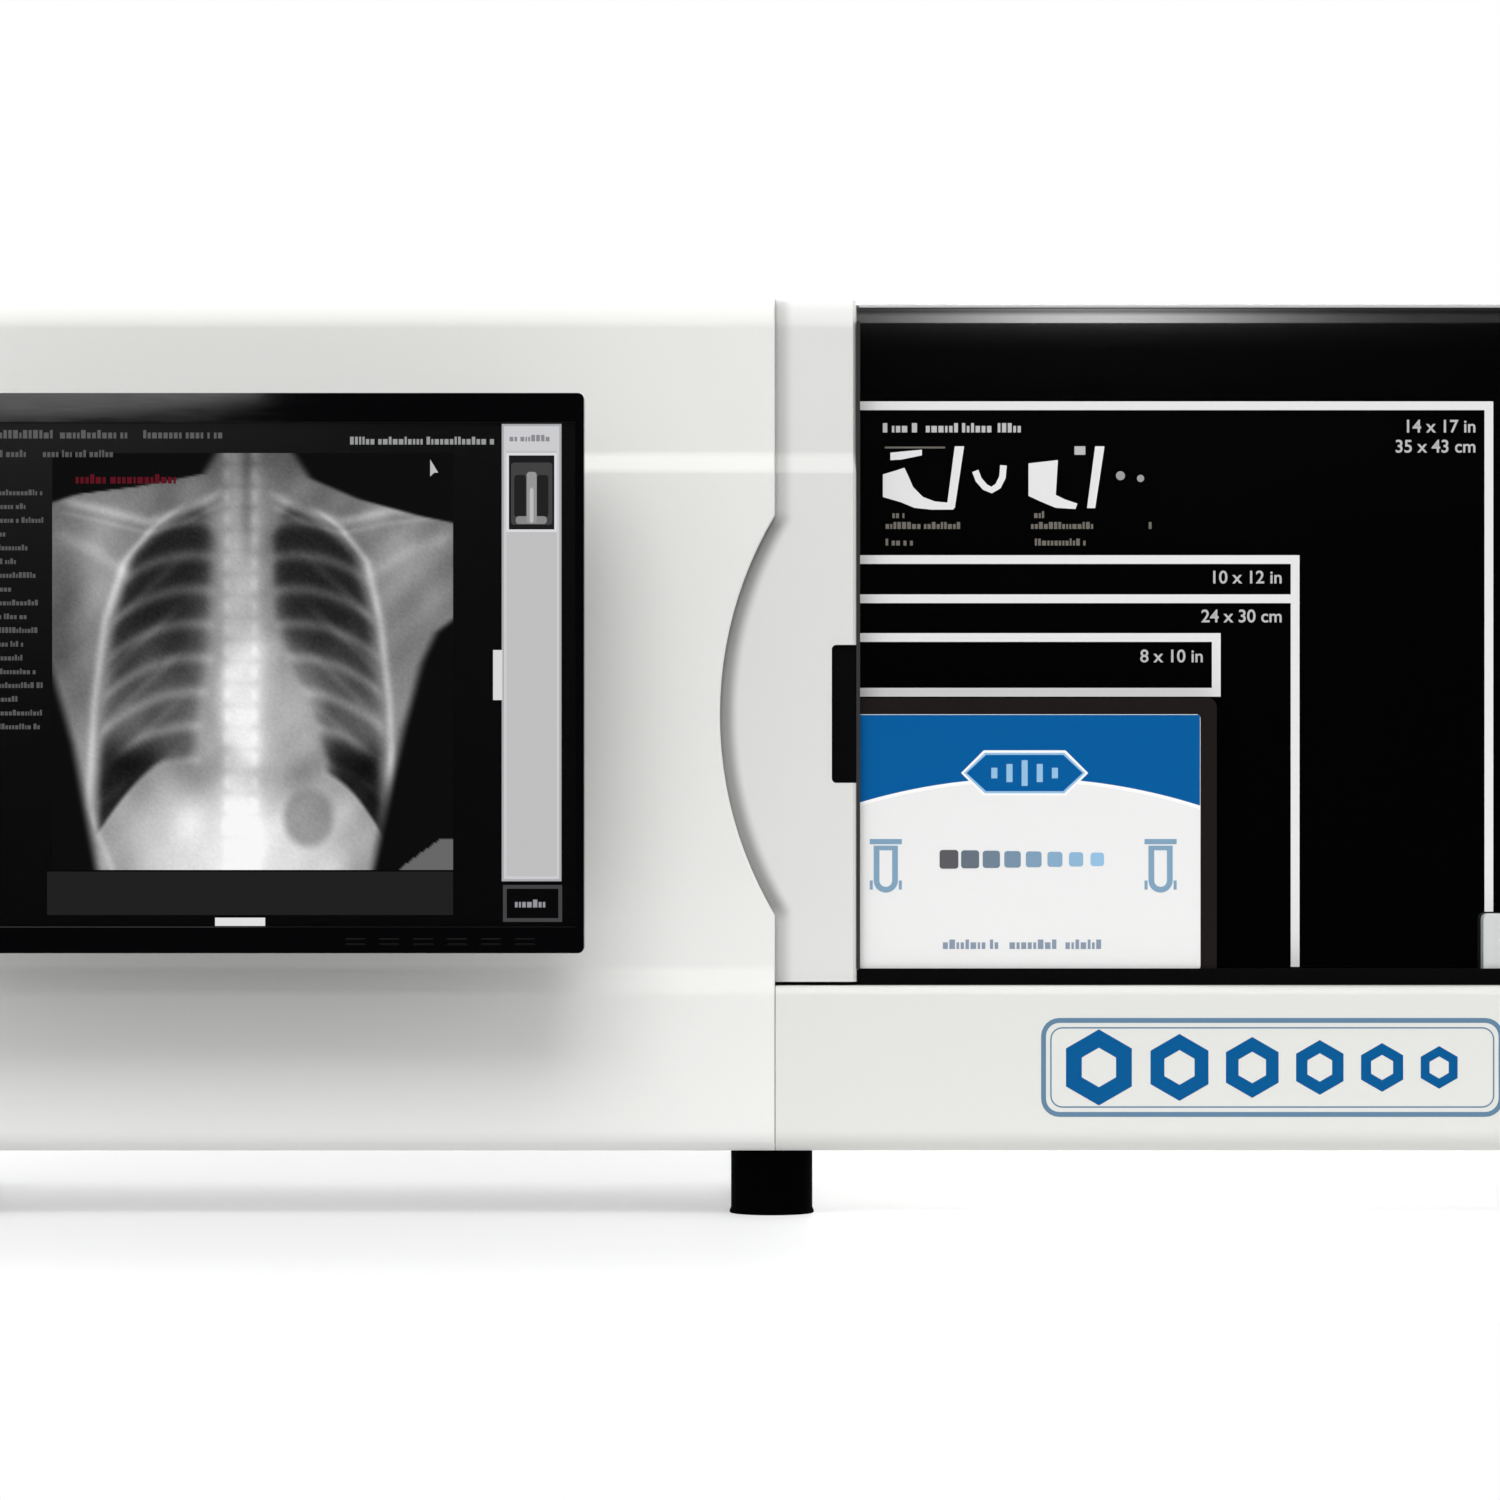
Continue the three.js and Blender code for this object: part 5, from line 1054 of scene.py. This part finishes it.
def screen_thumbnail():
    """The small copy of the picture in the side column."""
    layer = Layer("screen_thumbnail")
    for left, right, foot, top, level in (
        (-170, -143.5, 452, 492, 0.05),
        (-168, -160.5, 457, 484, 0.012),
        (-153.5, -146, 457, 484, 0.012),
        (-167, -147, 452.5, 457.5, 0.24),
        (-160, -153.5, 453, 486, 0.3),
        (-158, -155.6, 453, 476, 0.5),
    ):
        layer.fill((level,) * 3, rounded(left, foot, right, top, 2))
    layer.print_on(SCREEN_FACE - INK_PROUD, "monitor", lit)


screen_picture()
screen_marks()
screen_thumbnail()


# Screws in the rear covers and the end caps, by Geometry Nodes


def screw_tree():
    """Pan-head screws with a cross recess on the points of a mesh, turned as their facing says."""
    tree = bpy.data.node_groups.new("screws", "GeometryNodeTree")
    sockets = {}
    for name, kind in (
        ("Places", "NodeSocketGeometry"),
        ("Head radius", "NodeSocketFloat"),
        ("Head height", "NodeSocketFloat"),
        ("Recess", "NodeSocketFloat"),
        ("Seed", "NodeSocketInt"),
        ("Metal", "NodeSocketMaterial"),
    ):
        sockets[name] = tree.interface.new_socket(name, in_out="INPUT", socket_type=kind).identifier
    tree.interface.new_socket("Screws", in_out="OUTPUT", socket_type="NodeSocketGeometry")
    nodes, links = tree.nodes, tree.links
    given, made = nodes.new("NodeGroupInput"), nodes.new("NodeGroupOutput")

    def node(kind, settings, values, output=0):
        new = nodes.new(kind)
        for name, setting in settings.items():
            setattr(new, name, setting)
        for name, value in values.items():
            if isinstance(value, bpy.types.NodeSocket):
                links.new(value, new.inputs[name])
            else:
                new.inputs[name].default_value = value
        return new.outputs[output]

    def scaled(socket, factor):
        return node("ShaderNodeMath", {"operation": "MULTIPLY"}, {0: socket, 1: factor})

    # A head with a cross cut into it
    radius, height = given.outputs["Head radius"], given.outputs["Head height"]
    crown = scaled(radius, 0.72)
    sizes = {"Vertices": 20, "Radius Top": crown, "Radius Bottom": radius, "Depth": height}
    profile = node("GeometryNodeMeshCone", {}, sizes)
    slots = nodes.new("GeometryNodeJoinGeometry")
    for long, wide in ((1.15, 0.24), (0.24, 1.15)):
        sides = {0: scaled(radius, long), 1: scaled(radius, wide), 2: given.outputs["Recess"]}
        size = node("ShaderNodeCombineXYZ", {}, sides)
        links.new(node("GeometryNodeMeshCube", {}, {"Size": size}), slots.inputs[0])
    lift = node("ShaderNodeCombineXYZ", {}, {2: height})
    cross = node("GeometryNodeTransform", {}, {"Geometry": slots.outputs[0], "Translation": lift})
    meshes = {"Mesh 1": profile, "Mesh 2": cross}
    head = node("GeometryNodeMeshBoolean", {"operation": "DIFFERENCE"}, meshes)

    # The head on each point, tilted to its facing and turned at random
    facing = node("GeometryNodeInputNamedAttribute", {"data_type": "FLOAT_VECTOR"}, {"Name": "facing"})
    tilt = node("FunctionNodeAlignRotationToVector", {"axis": "Z"}, {"Vector": facing})
    angles = {2: 0.0, 3: 2 * math.pi, "Seed": given.outputs["Seed"]}
    angle = node("FunctionNodeRandomValue", {"data_type": "FLOAT"}, angles, 1)
    spin = node("FunctionNodeAxisAngleToRotation", {}, {"Axis": (0, 0, 1), "Angle": angle})
    turns = {"Rotation": tilt, "Rotate By": spin}
    turned = node("FunctionNodeRotateRotation", {"rotation_space": "LOCAL"}, turns)
    placed = {"Points": given.outputs["Places"], "Instance": head, "Rotation": turned}
    heads = node("GeometryNodeInstanceOnPoints", {}, placed)
    real = node("GeometryNodeRealizeInstances", {}, {"Geometry": heads})
    metal_heads = {"Geometry": real, "Material": given.outputs["Metal"]}
    links.new(node("GeometryNodeSetMaterial", {}, metal_heads), made.inputs[0])
    return tree, sockets


SCREW_TREE, SCREW_SOCKETS = screw_tree()


def screws(node, seed):
    """A cover's screw heads on the floors of their wells, as one plain mesh."""
    name, places = node + "_screws", cover_fixings(node)
    points = bpy.data.meshes.new(name + "_places")
    floors = [(Vector(place) - Vector(towards) * WELL_DEPTH) * MM for place, towards in places]
    points.from_pydata(floors, [], [])
    facing = points.attributes.new("facing", "FLOAT_VECTOR", "POINT")
    facing.data.foreach_set("vector", [v for _, towards in places for v in towards])
    made = linked(name, points)
    nodes = made.modifiers.new("screws", "NODES")
    nodes.node_group = SCREW_TREE
    values = {
        "Head radius": HEAD_RADIUS * MM,
        "Head height": HEAD_HEIGHT * MM,
        "Recess": HEAD_HEIGHT * MM,
        "Seed": seed,
        "Metal": ground_steel.material,
    }
    for label, value in values.items():
        nodes[SCREW_SOCKETS[label]] = value
    mesh = evaluated_mesh(made, name)
    made.modifiers.clear()
    made.data = mesh
    seated(made, "root", ground_steel)


for seed, node in enumerate(
    ("rear_cover", "wing_rear_cover", "left_end_cap", "right_end_cap"), 3
):
    screws(node, seed)


# Room


def pale_floor():
    """A wide floor that glows evenly, with painted shade: its glow is greyer under the left cabinet and
    in front of and behind it.
    """
    finish = Finish("floor")
    cloud = finish.noise(1.5, 2)
    across, deep, _ = finish.split(finish.place())
    # Painted shade: where lift is low, under the left cabinet and in front of and behind it, the glow
    # is greyer; elsewhere it is white
    right = finish.ramp(across, -0.04, 0.06, 0.0, 1.0, "SMOOTHSTEP")
    near = finish.ramp(deep, -0.75, -0.35, 1.0, 0.0, "SMOOTHSTEP")
    far = finish.ramp(deep, 0.55, 1.0, 0.0, 1.0, "SMOOTHSTEP")
    left = finish.ramp(across, -1.1, -0.6, 1.0, 0.0, "SMOOTHSTEP")
    lift = (right + near + far + left).clamped()
    finish.set(
        Base_Color=finish.between(cloud, grey(0.49), grey(0.51)),
        Roughness=0.6,
        Specular_IOR_Level=0.1,
        Emission_Color=finish.between(lift, rgba([0.78, 0.78, 0.8]), grey(1)),
        Emission_Strength=0.44,
    )
    shape = bmesh.new()
    corners = [(-6, -0.85, 0), (6, -0.85, 0), (6, 12, 0), (-6, 12, 0)]
    shape.faces.new([shape.verts.new(corner) for corner in corners])
    mesh = mesh_of(shape, "floor")
    mesh.materials.append(finish.material)
    linked("floor", mesh)


def surround():
    """White to the camera, soft from above, and a bright window for what shines."""
    world = bpy.data.worlds.new("surround")
    bpy.context.scene.world = world
    tree = Tree(world)
    background = next(node for node in tree.nodes if node.type == "BACKGROUND")
    path = tree.node("LightPath", {}, {}).socket.node.outputs
    seen, mirrored, passed = [
        Wire(tree, path[f"Is {ray} Ray"]) for ray in ("Camera", "Glossy", "Transmission")
    ]
    across, deep, high = tree.split(tree.node("TexCoord", {}, {}, "Generated"))

    # A narrow window high up, mirrored in the black panel's rounded top
    off_middle = (across - 0.056) / 0.023
    foot = tree.ramp(high, 0.066, 0.1, 0.0, 0.01)
    head = tree.ramp(high, 0.45, 0.85, 1.0, 0.3)
    window = foot + high.above(0.12) * head
    strip = (math.e ** (0 - off_middle * off_middle) * 22 + 0.75) * window

    # A leaf of light, mirrored in the monitor's glass
    off_corner = across + 0.127
    leaf = (high - off_corner * off_corner * 1.64).above(0.0543) * (-0.08 - across).above(0) * 2.6

    rear = tree.ramp(deep, -0.5, 0.4, 0.02, 1.0)
    bounced = (mirrored + passed).clamped()
    soft = (1 - (seen + bounced).clamped()) * (0.14 + high.clamped() * 0.72)
    tree.feed(background.inputs["Color"], grey(1))
    tree.feed(background.inputs["Strength"], seen + bounced * (rear + strip + leaf) + soft)


def lamps():
    """One soft key lamp above the front, and a weaker fill on each side."""
    aim, distance = Vector((-0.1, -0.12, 0.35)), 4.0
    for name, towards, size, power in (
        ("key", (-0.06, -0.72, 0.74), (3.0, 1.8), 109),
        ("fill", (0.9, -0.75, 0.35), (2.4, 2.0), 18),
        ("left_fill", (-0.9, -0.7, 0.6), (2.4, 2.0), 12),
    ):
        lamp = bpy.data.lights.new(name, "AREA")
        lamp.shape, lamp.size, lamp.size_y, lamp.energy = "RECTANGLE", *size, power
        stand = linked(name, lamp)
        stand.visible_glossy = False
        direction = Vector(towards).normalized()
        stand.location = aim + direction * distance
        stand.rotation_mode = "QUATERNION"
        stand.rotation_quaternion = direction.to_track_quat("Z", "Y")


def camera():
    """Square on to the front and far from it, framing most of its width."""
    distance, framed, sensor = 4000, 987, 36
    middle, front, level = -16.4, -112.5, 307.2
    lens = bpy.data.cameras.new("camera")
    lens.sensor_width = sensor
    lens.lens = sensor * distance / framed
    lens.clip_end = 50
    stand = linked("camera", lens)
    stand.location = (middle * MM, (front - distance) * MM, level * MM)
    stand.rotation_euler = (math.radians(90), 0, 0)
    bpy.context.scene.camera = stand


pale_floor()
surround()
lamps()
camera()
bpy.context.scene.view_settings.view_transform = "Standard"
